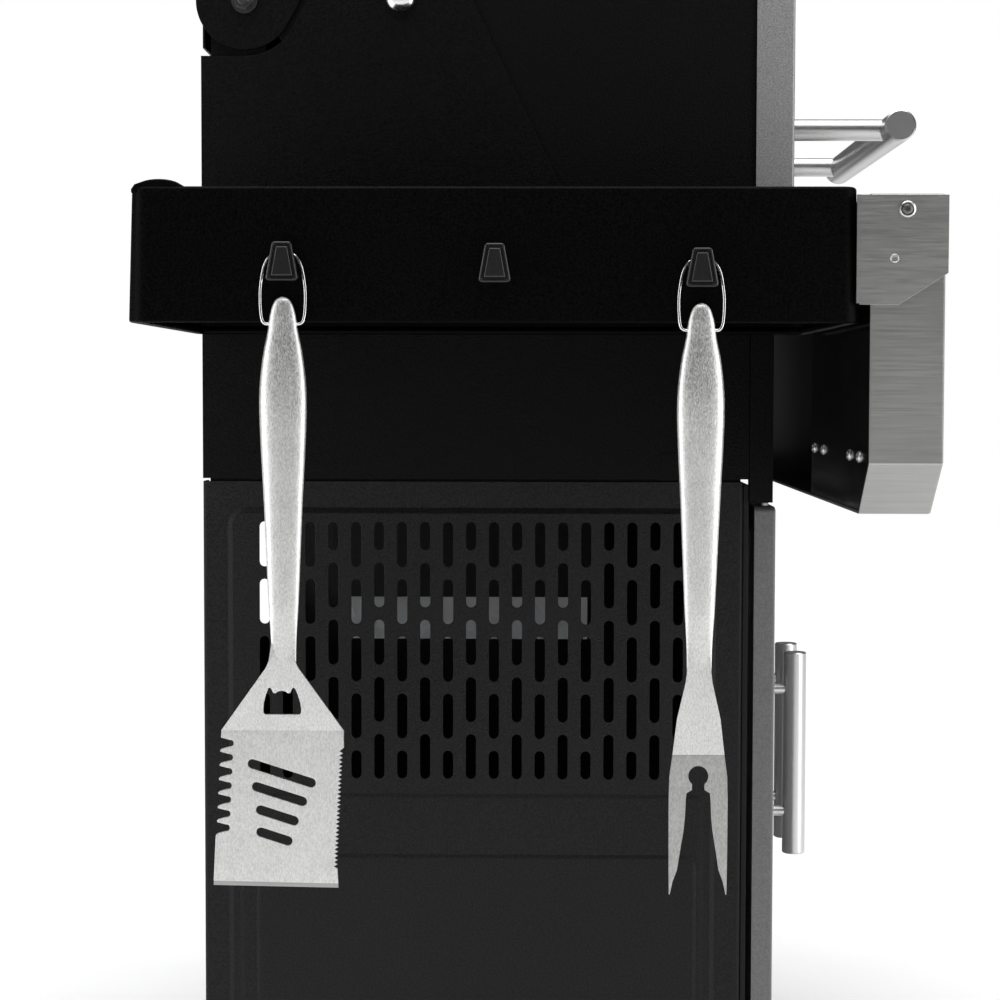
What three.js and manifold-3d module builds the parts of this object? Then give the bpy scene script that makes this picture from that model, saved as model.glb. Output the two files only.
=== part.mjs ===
// Pellet smoker grill: a cabinet on casters carries a firebox with a hinged hood, a pellet hopper
// with its auger and fan on one side, a drop shelf with hanging tools on the other, and a full
// width control fascia in front. Millimetres, +Z up, the front faces -Y, +X is the cook's right.
import * as THREE from 'three';
import { mergeVertices } from 'three/addons/utils/BufferGeometryUtils.js';
import Module from 'manifold-3d';

const wasm = await Module();
wasm.setup();

// ---------------------------------------------------------------- driving dimensions

// The body frame's place in the part's frame, which centres the whole part on its origin
const BODY_X = 8.75;
const BODY_Y = 57;

const SHEET = 2;
const GAP = 0.4;

// Body and cabinet
const HALF_WIDTH = 300;
const REAR = 250;
const SIDE_FRONT = -213;
const CABINET_FRONT = -208;
const CABINET_BOTTOM = 105;
const CABINET_TOP = 682;
const BACK_TOP = 512;
const FLOOR_Z = 108;

// Firebox and hood
const FIREBOX_BOTTOM = 684;
const RIM = 868;
const POST_FRONT = -233;
const POST_BOTTOM = 665;
const HOOD_FRONT = -249;
const HOOD_BOTTOM = 872;
const HOOD_TOP = 1205;
const HOOD_ARC = 105;
const HOOD_RETURN = 32;
const PIVOT = { y: 213, z: 1086 };
const LOBE_RADIUS = 41;
const EAR_CUT_RADIUS = 46;
const EAR_TOP = 1180;

// Hood handle
const HANDLE_Y = -354;
const HANDLE_Z = 994;
const HANDLE_HALF = 200;
const HANDLE_POST_X = 163;
const HANDLE_RADIUS = 14;
const HANDLE_POST_RADIUS = 10;

// Doors
const DOOR_TOP = 662;
const DOOR_BOTTOM = 135;
const DOOR_FACE = -236;
const DOOR_BACK = -218;
const DOOR_PIN = { x: 289, y: -227 };
const DOOR_BAR = { x: 38, y: -284, radius: 11, low: 311, high: 507, posts: [352, 471] };

// Slots in the cabinet's left side
const SLOT_COLUMNS = 19;
const SLOT_PITCH_Y = 19.5;
const SLOT_FIRST_Y = 197.5;
const SLOT_TOP = 648;
const SLOT_PITCH_Z = 48.8;
const SLOT_WIDTH = 8.5;
const SLOT_LONG = 38.4;
const SLOT_SHORT = 24;
const SLOT_ROWS = 5;
const SLOT_STAGGER = 35.6;

// Side shelf
const SHELF_END = -620;
const SHELF_TOP = 901;
const SHELF_BOTTOM = 806;
const SHELF_FRONT = -256;
const SHELF_REAR = 248;

// Control fascia
const FASCIA_END = 620;
const FASCIA_FRONT = -317;
const FASCIA_REAR = -265;
const FASCIA_TOP = 896;
const FASCIA_BOTTOM = 671;
const FASCIA_CORNER = { x: 46, z: 37 };

// Hopper and feed
const HOPPER = { left: 313, right: 600, front: -212, rear: 212, low: 600, high: 955 };
const AUGER_Z = 640;
const AUGER_TUBE_RADIUS = 27;
const CHUTE_X = 452;
const BURN_POT_RADIUS = 45;

// Hanging tools
const TOOL_X = -630;
const WIRE_RADIUS = 1.3;
const HOOKS = [
  { name: 'hook_rear', y: 143, z: 848 },
  { name: 'hook_middle', y: -4, z: 847 },
  { name: 'hook_front', y: -147, z: 844 },
];
const LOOP_DROP = 47.5;

// Casters
const CASTER_X = 250;
const CASTER_FRONT_Y = -165;
const CASTER_REAR_Y = 185;
const WHEEL_HEIGHT = 37.5;
const WHEEL_HALF = 11;
const CASTER_TRAIL = 22;
const WHEEL_SIDES = 20;

// ---------------------------------------------------------------- materials

function finish(color, roughness, metalness) {
  return { color, roughness, metalness };
}

const BLACK_COAT = finish(0x151515, 0.55, 0.2);
const GREY_SATIN = finish(0x77787a, 0.45, 0.7);
const BRUSHED = finish(0xb4b4b2, 0.35, 1);
const GALVANISED = finish(0x8d9092, 0.5, 0.9);
const CAST_IRON = finish(0x1c1b1a, 0.8, 0.4);
const BLACK_PLASTIC = finish(0x1a1a1b, 0.5, 0);
const GLOSS_BLACK = finish(0x0c0c0d, 0.2, 0);
const GREY_TYRE = finish(0x3a3a3b, 0.8, 0);

// ---------------------------------------------------------------- shape helpers

function toSolid(geometry) {
  const bare = geometry.clone();
  bare.deleteAttribute('normal');
  bare.deleteAttribute('uv');
  const merged = mergeVertices(bare, 1e-4);
  return new wasm.Manifold(new wasm.Mesh({
    numProp: 3,
    vertProperties: new Float32Array(merged.attributes.position.array),
    triVerts: new Uint32Array(merged.index.array),
  }));
}

function toGeometry(solid) {
  const mesh = solid.getMesh();
  const geometry = new THREE.BufferGeometry();
  geometry.setAttribute('position', new THREE.BufferAttribute(mesh.vertProperties, 3));
  geometry.setIndex(new THREE.BufferAttribute(mesh.triVerts, 1));
  geometry.computeVertexNormals();
  return geometry;
}

function join(first, ...others) {
  return toGeometry(others.reduce((sum, other) => sum.add(toSolid(other)), toSolid(first)));
}

function cut(first, ...others) {
  return toGeometry(others.reduce((rest, other) => rest.subtract(toSolid(other)), toSolid(first)));
}

// A rectangular block between two values on each axis
function block([x0, x1], [y0, y1], [z0, z1]) {
  const box = new THREE.BoxGeometry(x1 - x0, y1 - y0, z1 - z0);
  return box.translate((x0 + x1) / 2, (y0 + y1) / 2, (z0 + z1) / 2);
}

function rodX(y, z, radius, x0, x1, sides = 16) {
  const rod = new THREE.CylinderGeometry(radius, radius, x1 - x0, sides);
  return rod.rotateZ(Math.PI / 2).translate((x0 + x1) / 2, y, z);
}

function rodY(x, z, radius, y0, y1, sides = 16) {
  const rod = new THREE.CylinderGeometry(radius, radius, y1 - y0, sides);
  return rod.translate(x, (y0 + y1) / 2, z);
}

function rodZ(x, y, radius, z0, z1, sides = 16) {
  const rod = new THREE.CylinderGeometry(radius, radius, z1 - z0, sides);
  return rod.rotateX(Math.PI / 2).translate(x, y, (z0 + z1) / 2);
}

function outline(points) {
  return new THREE.Shape(points.map(([u, v]) => new THREE.Vector2(u, v)));
}

// An outline in Y and Z, as a plate between two X values
function plateYZ(shape, x0, x1, curveSegments = 8) {
  const plate = new THREE.ExtrudeGeometry(shape, { depth: x1 - x0, bevelEnabled: false, curveSegments });
  const turn = new THREE.Matrix4().makeBasis(
    new THREE.Vector3(0, 1, 0),
    new THREE.Vector3(0, 0, 1),
    new THREE.Vector3(1, 0, 0),
  );
  return plate.applyMatrix4(turn).translate(x0, 0, 0);
}

// An outline in X and Z, as a plate between two Y values
function plateXZ(shape, y0, y1, curveSegments = 8) {
  const plate = new THREE.ExtrudeGeometry(shape, { depth: y1 - y0, bevelEnabled: false, curveSegments });
  const turn = new THREE.Matrix4().makeBasis(
    new THREE.Vector3(1, 0, 0),
    new THREE.Vector3(0, 0, 1),
    new THREE.Vector3(0, -1, 0),
  );
  return plate.applyMatrix4(turn).translate(0, y1, 0);
}

// A pan: a block hollowed by a smaller block, open on the side where the hollow runs out
function pan(outer, hollow) {
  return cut(block(...outer), block(...hollow));
}

// A slot with eight corners, longer along its second direction
function slotShape(u, v0, v1, width) {
  const half = width / 2;
  const tip = width / 5;
  return outline([
    [u - half, v0 + half * 0.7], [u - tip, v0], [u + tip, v0], [u + half, v0 + half * 0.7],
    [u + half, v1 - half * 0.7], [u + tip, v1], [u - tip, v1], [u - half, v1 - half * 0.7],
  ]);
}

// A low dome on a short cylinder, standing on the plane of its foot
function domeProfile(radius, height, foot = 2, steps = 5) {
  const points = [new THREE.Vector2(0, 0), new THREE.Vector2(radius, 0)];
  for (let step = 0; step <= steps; step += 1) {
    const angle = (step / steps) * (Math.PI / 2);
    points.push(new THREE.Vector2(radius * Math.cos(angle), foot + (height - foot) * Math.sin(angle)));
  }
  points[points.length - 1].x = 0;
  return points;
}

const grill = new THREE.Group();
grill.name = 'pellet_grill';
grill.position.set(BODY_X, BODY_Y, 0);

function add(name, geometry, look, position = [0, 0, 0]) {
  const mesh = new THREE.Mesh(geometry, new THREE.MeshStandardMaterial(look));
  mesh.name = name;
  mesh.position.set(...position);
  grill.add(mesh);
  return mesh;
}

// The X range of something on the left side, given as distances from the centre plane
function sideRange(sign, inner, outer) {
  return sign < 0 ? [-outer, -inner] : [inner, outer];
}

const SIDES = [{ sign: -1, word: 'left' }, { sign: 1, word: 'right' }];

// ---------------------------------------------------------------- cabinet

// Columns with the short slot at the bottom alternate with columns that start with it
function ventSlots() {
  const slots = [];
  for (let column = 0; column < SLOT_COLUMNS; column += 1) {
    const y = SLOT_FIRST_Y - column * SLOT_PITCH_Y;
    const startsShort = column % 2 === 1;
    const shortRow = startsShort ? 0 : SLOT_ROWS - 1;
    for (let row = 0; row < SLOT_ROWS; row += 1) {
      const stagger = startsShort && row > 0 ? SLOT_STAGGER - SLOT_PITCH_Z : 0;
      const top = SLOT_TOP - row * SLOT_PITCH_Z - stagger;
      const length = row === shortRow ? SLOT_SHORT : SLOT_LONG;
      slots.push(slotShape(y, top - length, top, SLOT_WIDTH));
    }
  }
  return plateYZ(slots, -HALF_WIDTH - 5, 5 - HALF_WIDTH);
}

// Each side is one folded sheet with a flange along its front and its rear edge
const FLANGE_X = HALF_WIDTH - 24;
for (const { sign, word } of SIDES) {
  const profile = outline([
    [HALF_WIDTH, CABINET_FRONT], [HALF_WIDTH, REAR], [FLANGE_X, REAR], [FLANGE_X, REAR - SHEET],
    [HALF_WIDTH - SHEET, REAR - SHEET], [HALF_WIDTH - SHEET, CABINET_FRONT + SHEET],
    [FLANGE_X, CABINET_FRONT + SHEET], [FLANGE_X, CABINET_FRONT],
  ].map(([x, y]) => [sign * x, y]));
  const folded = new THREE.ExtrudeGeometry(profile, {
    depth: CABINET_TOP - CABINET_BOTTOM,
    bevelEnabled: false,
  }).translate(0, 0, CABINET_BOTTOM);
  const augerHole = rodX(0, AUGER_Z, AUGER_TUBE_RADIUS + 3, HALF_WIDTH - 30, HALF_WIDTH + 10);
  add(`cabinet_${word}_side`, cut(folded, sign < 0 ? ventSlots() : augerHole), BLACK_COAT);
}

const INNER_X = HALF_WIDTH - SHEET - GAP;
const PANEL_REAR = REAR - SHEET - GAP;
add('cabinet_back', block(
  [-INNER_X, INNER_X],
  [PANEL_REAR - SHEET, PANEL_REAR],
  [FLOOR_Z + 1, BACK_TOP],
), BLACK_COAT);

const PAN_FRONT = CABINET_FRONT + SHEET + GAP;
const PAN_REAR = PANEL_REAR - SHEET - GAP;
const PAN_LIP = 20;
add('cabinet_floor', pan(
  [[-INNER_X, INNER_X], [PAN_FRONT, PAN_REAR], [FLOOR_Z - PAN_LIP, FLOOR_Z]],
  [[SHEET - INNER_X, INNER_X - SHEET], [PAN_FRONT + SHEET, PAN_REAR - SHEET], [0, FLOOR_Z - SHEET]],
), BLACK_COAT);

const FRAME_WINDOW_X = 268;
const FRAME_WINDOW_Z = [150, 640];
const frameShape = outline([
  [-INNER_X, CABINET_BOTTOM + 2], [INNER_X, CABINET_BOTTOM + 2],
  [INNER_X, CABINET_TOP - 2], [-INNER_X, CABINET_TOP - 2],
]);
frameShape.holes.push(new THREE.Path([
  new THREE.Vector2(-FRAME_WINDOW_X, FRAME_WINDOW_Z[0]),
  new THREE.Vector2(FRAME_WINDOW_X, FRAME_WINDOW_Z[0]),
  new THREE.Vector2(FRAME_WINDOW_X, FRAME_WINDOW_Z[1]),
  new THREE.Vector2(-FRAME_WINDOW_X, FRAME_WINDOW_Z[1]),
]));
const LUG_TOP = 131;
const hingeLugs = SIDES.map(({ sign }) => block(
  sideRange(sign, DOOR_PIN.x - 8, DOOR_PIN.x + 8),
  [DOOR_FACE + 1, SIDE_FRONT + 1],
  [LUG_TOP - 12, LUG_TOP],
));
const frame = plateXZ(frameShape, SIDE_FRONT, CABINET_FRONT - GAP);
add('cabinet_front_frame', join(frame, ...hingeLugs), BLACK_COAT);

// ---------------------------------------------------------------- doors

// Each door is a folded pan, open to the cabinet, that turns on a full height pin
const DOOR_GAP = 3;
const DOOR_SKIN = 1.5;
const DOOR_PIN_RADIUS = 3.5;
const DOOR_TUBE_HALF = 7;
for (const { sign, word } of SIDES) {
  const across = sideRange(sign, DOOR_GAP, HALF_WIDTH - 2);
  const hollowX = [across[0] + DOOR_SKIN, across[1] - DOOR_SKIN];
  const leaf = pan(
    [across, [DOOR_FACE, DOOR_BACK], [DOOR_BOTTOM, DOOR_TOP]],
    [hollowX, [DOOR_FACE + DOOR_SKIN, DOOR_BACK + 5], [DOOR_BOTTOM + DOOR_SKIN, DOOR_TOP - DOOR_SKIN]],
  );
  const pinX = sign * DOOR_PIN.x;
  const knuckle = block(
    [pinX - DOOR_TUBE_HALF, pinX + DOOR_TUBE_HALF],
    [DOOR_FACE + 1, DOOR_BACK],
    [DOOR_BOTTOM + 1, DOOR_TOP - 1],
  );
  const bore = rodZ(pinX, DOOR_PIN.y, DOOR_PIN_RADIUS + 0.6, 0, 700, 12);
  add(`door_${word}`, cut(join(leaf, knuckle), bore), GREY_SATIN);
  const pin = rodZ(pinX, DOOR_PIN.y, DOOR_PIN_RADIUS, LUG_TOP + GAP, POST_BOTTOM - GAP, 12);
  add(`door_${word}_pin`, pin, BRUSHED);

  const barX = sign * DOOR_BAR.x;
  const bar = rodZ(barX, DOOR_BAR.y, DOOR_BAR.radius, DOOR_BAR.low, DOOR_BAR.high, 16);
  const standoffPosts = DOOR_BAR.posts.map((z) => rodY(barX, z, 5, DOOR_BAR.y, DOOR_FACE - GAP, 10));
  add(`door_${word}_handle`, join(bar, ...standoffPosts), BRUSHED);
}

// ---------------------------------------------------------------- casters

const WHEEL_RADIUS = WHEEL_HEIGHT / Math.cos(Math.PI / WHEEL_SIDES);
const AXLE_RADIUS = 4;

function casterWheel() {
  const rim = WHEEL_RADIUS - 2;
  const profile = [
    [AXLE_RADIUS + 0.7, -WHEEL_HALF], [rim, -WHEEL_HALF], [WHEEL_RADIUS, -WHEEL_HALF + 3],
    [WHEEL_RADIUS, WHEEL_HALF - 3], [rim, WHEEL_HALF], [AXLE_RADIUS + 0.7, WHEEL_HALF],
    [AXLE_RADIUS + 0.7, -WHEEL_HALF],
  ].map(([radius, along]) => new THREE.Vector2(radius, along));
  // A flat facet, not a corner, faces the floor
  const wheel = new THREE.LatheGeometry(profile, WHEEL_SIDES, Math.PI / WHEEL_SIDES);
  return wheel.rotateZ(Math.PI / 2);
}

function casterFork(braked) {
  const leg = outline([
    [-16, 92], [16, 92], [CASTER_TRAIL + (braked ? 30 : 12), braked ? 72 : 60],
    [CASTER_TRAIL + 9, 30], [CASTER_TRAIL - 9, 30], [-16, 74],
  ]);
  const legs = SIDES.map(({ sign }) => plateYZ(leg, ...sideRange(sign, WHEEL_HALF + 3, WHEEL_HALF + 5.5)));
  const bridge = block([-WHEEL_HALF - 5, WHEEL_HALF + 5], [-16, 16], [84, 92]);
  const head = rodZ(0, 0, 21, 90, FLOOR_Z - SHEET - GAP, 16);
  const axle = rodX(CASTER_TRAIL, WHEEL_HEIGHT, AXLE_RADIUS, -WHEEL_HALF - 8, WHEEL_HALF + 8, 12);
  return join(head, bridge, ...legs, axle);
}

function brakePedal() {
  const lever = block([-10, 10], [CASTER_TRAIL + 25, CASTER_TRAIL + 58], [68, 71]);
  const toe = block([-13, 13], [CASTER_TRAIL + 44, CASTER_TRAIL + 60], [70, 73.5]);
  return join(lever, toe);
}

const casterPlaces = [
  { word: 'front_left', x: -CASTER_X, y: CASTER_FRONT_Y, braked: true },
  { word: 'front_right', x: CASTER_X, y: CASTER_FRONT_Y, braked: true },
  { word: 'rear_left', x: -CASTER_X, y: CASTER_REAR_Y, braked: false },
  { word: 'rear_right', x: CASTER_X, y: CASTER_REAR_Y, braked: false },
];
for (const { word, x, y, braked } of casterPlaces) {
  add(`caster_fork_${word}`, casterFork(braked), BRUSHED, [x, y, 0]);
  add(`caster_wheel_${word}`, casterWheel(), GREY_TYRE, [x, y + CASTER_TRAIL, WHEEL_HEIGHT]);
  if (braked) {
    add(`caster_pedal_${word}`, brakePedal(), BLACK_PLASTIC, [x, y, 0]);
  }
}

// ---------------------------------------------------------------- firebox

// Front wall, floor and back wall are one folded sheet, with ledges for the cooking grate
const TUB_BACK_TOP = 1025;
const TUB_REAR = REAR - 1;
const TUB_FLOOR = 686;
const LEDGE_Z = 840;
const TUB_NARROW = 288;
function tubShape(backTop) {
  const front = POST_FRONT;
  return outline([
    [front, TUB_FLOOR], [TUB_REAR, TUB_FLOOR], [TUB_REAR, backTop], [TUB_REAR - SHEET, backTop],
    [TUB_REAR - SHEET, LEDGE_Z + 8], [TUB_REAR - 14, LEDGE_Z + 8], [TUB_REAR - 14, LEDGE_Z],
    [TUB_REAR - SHEET, LEDGE_Z], [TUB_REAR - SHEET, TUB_FLOOR + SHEET], [front + SHEET, TUB_FLOOR + SHEET],
    [front + SHEET, LEDGE_Z],
    [front + 14, LEDGE_Z],
    [front + 14, LEDGE_Z + 8],
    [front + SHEET, LEDGE_Z + 8],
    [front + SHEET, RIM], [front, RIM],
  ]);
}
const tubWide = plateYZ(tubShape(RIM), -INNER_X, INNER_X);
const tubHigh = plateYZ(tubShape(TUB_BACK_TOP), -TUB_NARROW, TUB_NARROW);
const posts = SIDES.map(({ sign }) => block(
  sideRange(sign, HALF_WIDTH - 15, HALF_WIDTH),
  [POST_FRONT, SIDE_FRONT - GAP],
  [POST_BOTTOM, RIM],
));
const potHole = rodZ(0, 0, BURN_POT_RADIUS + 2, TUB_FLOOR - 10, TUB_FLOOR + 10, 20);
add('firebox_tub', cut(join(tubWide, tubHigh, ...posts), potHole), BLACK_COAT);

// The side skin rises behind the hood as an ear with a round cut around the hood's pivot
const EAR_REAR_SLOPE = { y: -0.487, z: 0.873 };
const EAR_FRONT_SLOPE = 0.4762;
const EAR_FRONT_FOOT = { y: -54, z: 928 };

function earFrontY(z) {
  return EAR_FRONT_FOOT.y + (z - EAR_FRONT_FOOT.z) * EAR_FRONT_SLOPE;
}

// The point where a line parallel to the ear's rear edge touches a circle about the pivot
function tangentPoint(radius) {
  return [PIVOT.y - radius * EAR_REAR_SLOPE.z, PIVOT.z + radius * EAR_REAR_SLOPE.y];
}

function alongRearSlope([y, z], height) {
  return [y + ((height - z) * EAR_REAR_SLOPE.y) / EAR_REAR_SLOPE.z, height];
}

function bodySideShape() {
  const touch = tangentPoint(EAR_CUT_RADIUS);
  const rearTop = alongRearSlope(touch, EAR_TOP);
  const shape = new THREE.Shape();
  shape.moveTo(REAR, FIREBOX_BOTTOM);
  shape.lineTo(REAR, PIVOT.z - EAR_CUT_RADIUS);
  shape.lineTo(PIVOT.y, PIVOT.z - EAR_CUT_RADIUS);
  const touchAngle = Math.atan2(touch[1] - PIVOT.z, touch[0] - PIVOT.y);
  shape.absarc(PIVOT.y, PIVOT.z, EAR_CUT_RADIUS, -Math.PI / 2, touchAngle, true);
  shape.lineTo(...rearTop);
  shape.lineTo(earFrontY(EAR_TOP), EAR_TOP);
  shape.lineTo(earFrontY(RIM), RIM);
  shape.lineTo(SIDE_FRONT, RIM);
  shape.lineTo(SIDE_FRONT, FIREBOX_BOTTOM);
  shape.closePath();
  return shape;
}

// Inside the hood's end plate, a bracket carries the pivot bolt
const BRACKET_X = [HALF_WIDTH - 8.5, HALF_WIDTH - 5.5];
const BRACKET_Y = [196, 242];
const BOLT_RADIUS = 5;
const NUT_RADIUS = 9;
const STUD = { y: 82, z: 1088, radius: 12.5, height: 9 };
for (const { sign, word } of SIDES) {
  const skin = plateYZ(bodySideShape(), ...sideRange(sign, HALF_WIDTH - SHEET, HALF_WIDTH), 10);
  const spacer = block(sideRange(sign, HALF_WIDTH - 8, HALF_WIDTH - 1), BRACKET_Y, [RIM + 10, 1000]);
  const bracketShape = outline([
    [BRACKET_Y[0], RIM + 10], [BRACKET_Y[1], RIM + 10], [BRACKET_Y[1], PIVOT.z],
    [PIVOT.y + 12, PIVOT.z + 16], [PIVOT.y - 12, PIVOT.z + 16], [BRACKET_Y[0], PIVOT.z],
  ]);
  const bracket = plateYZ(bracketShape, ...sideRange(sign, ...BRACKET_X));
  const hole = rodX(PIVOT.y, PIVOT.z, BOLT_RADIUS + 0.5, ...sideRange(sign, 280, 310));
  add(`body_${word}_side`, cut(join(skin, spacer, bracket), hole), BLACK_COAT);

  const shank = rodX(PIVOT.y, PIVOT.z, BOLT_RADIUS, ...sideRange(sign, HALF_WIDTH - 11, HALF_WIDTH + 8.5));
  const nut = rodX(PIVOT.y, PIVOT.z, NUT_RADIUS, ...sideRange(sign, HALF_WIDTH + GAP, HALF_WIDTH + 7), 6);
  add(`pivot_bolt_${word}`, join(shank, nut), BLACK_COAT);

  const stud = new THREE.LatheGeometry(domeProfile(STUD.radius, STUD.height), 16);
  stud.rotateZ((-sign * Math.PI) / 2);
  add(`lid_stop_stud_${word}`, stud, BRUSHED, [sign * (HALF_WIDTH + GAP), STUD.y, STUD.z]);
}

// ---------------------------------------------------------------- hood

// The hood's front profile, moved in by an inset and run on past both its ends
function hoodFrontLine(inset, overrun) {
  const front = HOOD_FRONT + inset;
  const arc = HOOD_ARC - inset;
  const path = new THREE.Path();
  path.moveTo(front, HOOD_BOTTOM - overrun);
  path.lineTo(front, HOOD_TOP - HOOD_ARC);
  path.absarc(HOOD_FRONT + HOOD_ARC, HOOD_TOP - HOOD_ARC, arc, Math.PI, Math.PI / 2, true);
  path.lineTo(HOOD_FRONT + HOOD_ARC + overrun + GAP, HOOD_TOP - inset);
  return path.getPoints(6);
}

function hoodFrontBand(outerInset, innerInset, overrun) {
  return new THREE.Shape([
    ...hoodFrontLine(outerInset, overrun),
    ...hoodFrontLine(innerInset, overrun).reverse(),
  ]);
}

add('lid_front', cut(
  plateYZ(hoodFrontBand(0, HOOD_RETURN, 0), -HALF_WIDTH, HALF_WIDTH),
  plateYZ(hoodFrontBand(SHEET, HOOD_RETURN + 5, 5), SHEET - HALF_WIDTH, HALF_WIDTH - SHEET),
), GREY_SATIN);

// The hood's end plates follow its profile, and end in a round lobe about the pivot
const HOOD_REAR_ARC = 100;
const HOOD_REAR_BOTTOM = 1048;
const HOOD_END_FOOT_Y = 40;
const END_OUTER = HALF_WIDTH - SHEET - GAP;
function hoodEndShape(front, top) {
  const shape = new THREE.Shape();
  shape.moveTo(front, HOOD_BOTTOM);
  shape.lineTo(front, HOOD_TOP - HOOD_ARC);
  const corner = [HOOD_FRONT + HOOD_ARC, HOOD_TOP - HOOD_ARC];
  shape.absarc(...corner, top - HOOD_TOP + HOOD_ARC, Math.PI, Math.PI / 2, true);
  shape.lineTo(REAR - HOOD_REAR_ARC, top);
  shape.absarc(
    REAR - HOOD_REAR_ARC,
    HOOD_TOP - HOOD_REAR_ARC,
    top - HOOD_TOP + HOOD_REAR_ARC,
    Math.PI / 2,
    0,
    true,
  );
  shape.lineTo(top - HOOD_TOP + REAR, HOOD_REAR_BOTTOM);
  shape.lineTo(PIVOT.y, HOOD_REAR_BOTTOM);
  shape.lineTo(PIVOT.y - 30, PIVOT.z - 32);
  shape.lineTo(HOOD_END_FOOT_Y, HOOD_BOTTOM);
  shape.closePath();
  return shape;
}

const hoodTopSheet = new THREE.Shape();
hoodTopSheet.moveTo(HOOD_FRONT + HOOD_ARC + 2 * GAP, HOOD_TOP);
hoodTopSheet.lineTo(REAR - HOOD_REAR_ARC, HOOD_TOP);
hoodTopSheet.absarc(REAR - HOOD_REAR_ARC, HOOD_TOP - HOOD_REAR_ARC, HOOD_REAR_ARC, Math.PI / 2, 0, true);
hoodTopSheet.lineTo(REAR, HOOD_REAR_BOTTOM);
hoodTopSheet.lineTo(REAR - SHEET, HOOD_REAR_BOTTOM);
hoodTopSheet.lineTo(REAR - SHEET, HOOD_TOP - HOOD_REAR_ARC);
hoodTopSheet.absarc(
  REAR - HOOD_REAR_ARC,
  HOOD_TOP - HOOD_REAR_ARC,
  HOOD_REAR_ARC - SHEET,
  0,
  Math.PI / 2,
  false,
);
hoodTopSheet.lineTo(HOOD_FRONT + HOOD_ARC + 2 * GAP, HOOD_TOP - SHEET);
hoodTopSheet.closePath();

// Only the lobe and the arm above it reach out to the ear's plane, behind the ear
const lobeTouch = tangentPoint(LOBE_RADIUS);
const LOBE_TOP = 1150;
const lobeShape = new THREE.Shape();
lobeShape.absarc(
  PIVOT.y,
  PIVOT.z,
  LOBE_RADIUS,
  Math.atan2(lobeTouch[1] - PIVOT.z, lobeTouch[0] - PIVOT.y),
  0,
  false,
);
lobeShape.lineTo(PIVOT.y + LOBE_RADIUS - 10, LOBE_TOP);
lobeShape.lineTo(...alongRearSlope(lobeTouch, LOBE_TOP));
lobeShape.closePath();

const hoodEnds = SIDES.map(({ sign }) => {
  const inset = SHEET + GAP;
  const end = plateYZ(
    hoodEndShape(HOOD_FRONT + inset, HOOD_TOP - inset),
    ...sideRange(sign, END_OUTER - SHEET, END_OUTER),
    6,
  );
  const lobe = plateYZ(lobeShape, ...sideRange(sign, END_OUTER - 0.5, HALF_WIDTH + 0.2), 10);
  return join(end, lobe);
});
const hoodTop = plateYZ(hoodTopSheet, -END_OUTER, END_OUTER, 6);
// The end plates stop under the top sheet, so a strip inside it closes the corner
const cornerStrips = SIDES.map(({ sign }) => block(
  sideRange(sign, END_OUTER - 8, END_OUTER),
  [HOOD_FRONT + HOOD_ARC + 6, REAR - HOOD_REAR_ARC],
  [HOOD_TOP - 6, HOOD_TOP - 1],
));
const pivotHole = rodX(PIVOT.y, PIVOT.z, BOLT_RADIUS + 0.5, -HALF_WIDTH - 5, HALF_WIDTH + 5);
// The rear sheet is notched beside each end, so that it swings past the pivot brackets
const notches = SIDES.map(({ sign }) => block(
  sideRange(sign, HALF_WIDTH - 11, END_OUTER - SHEET),
  [REAR - 30, REAR + 5],
  [HOOD_REAR_BOTTOM - 5, PIVOT.z + 38],
));
add('lid_shell', cut(join(hoodTop, ...hoodEnds, ...cornerStrips), pivotHole, ...notches), BLACK_COAT);

const handleBar = rodX(HANDLE_Y, HANDLE_Z, HANDLE_RADIUS, -HANDLE_HALF, HANDLE_HALF, 20);
const handlePosts = SIDES.map(({ sign }) => rodY(
  sign * HANDLE_POST_X,
  HANDLE_Z,
  HANDLE_POST_RADIUS,
  HANDLE_Y,
  HOOD_FRONT - GAP,
  14,
));
add('lid_handle', join(handleBar, ...handlePosts), BRUSHED);

// ---------------------------------------------------------------- inside the firebox

const POT_LOW = 612;
const POT_TOP = 730;
const potCup = cut(
  rodZ(0, 0, BURN_POT_RADIUS, POT_LOW, POT_TOP, 20),
  rodZ(0, 0, BURN_POT_RADIUS - 3, POT_LOW + 3, POT_TOP + 5, 20),
  rodX(0, AUGER_Z, 22, 20, 60),
);
const igniter = rodX(0, POT_LOW + 14, 4, -82, 4 - BURN_POT_RADIUS, 10);
add('burn_pot', join(potCup, igniter), CAST_IRON);

// The grease pan spreads the heat over the pot, and stands on the firebox floor
const PAN_Z = 765;
const PAN_X = 280;
const PAN_Y = [-210, 228];
const greasePan = pan(
  [[-PAN_X, PAN_X], PAN_Y, [PAN_Z, PAN_Z + 20]],
  [[SHEET - PAN_X, PAN_X - SHEET], [PAN_Y[0] + SHEET, PAN_Y[1] - SHEET], [PAN_Z + SHEET, PAN_Z + 30]],
);
const panFeet = [-260, 260].flatMap((x) => [-190, 208].map((y) => block(
  [x - 8, x + 8],
  [y - 8, y + 8],
  [TUB_FLOOR + SHEET + GAP, PAN_Z + 1],
)));
add('drip_pan', join(greasePan, ...panFeet), CAST_IRON);

function slottedPlate(xHalf, [y0, y1], [z0, z1], pitch, bar, border) {
  const count = Math.floor((2 * (xHalf - border) + bar) / pitch);
  const first = -((count - 1) * pitch) / 2;
  const half = (pitch - bar) / 2;
  const slots = Array.from({ length: count }, (unused, index) => {
    const x = first + index * pitch;
    return block([x - half, x + half], [y0 + border, y1 - border], [z0 - 1, z1 + 1]);
  });
  return cut(block([-xHalf, xHalf], [y0, y1], [z0, z1]), ...slots);
}

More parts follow.
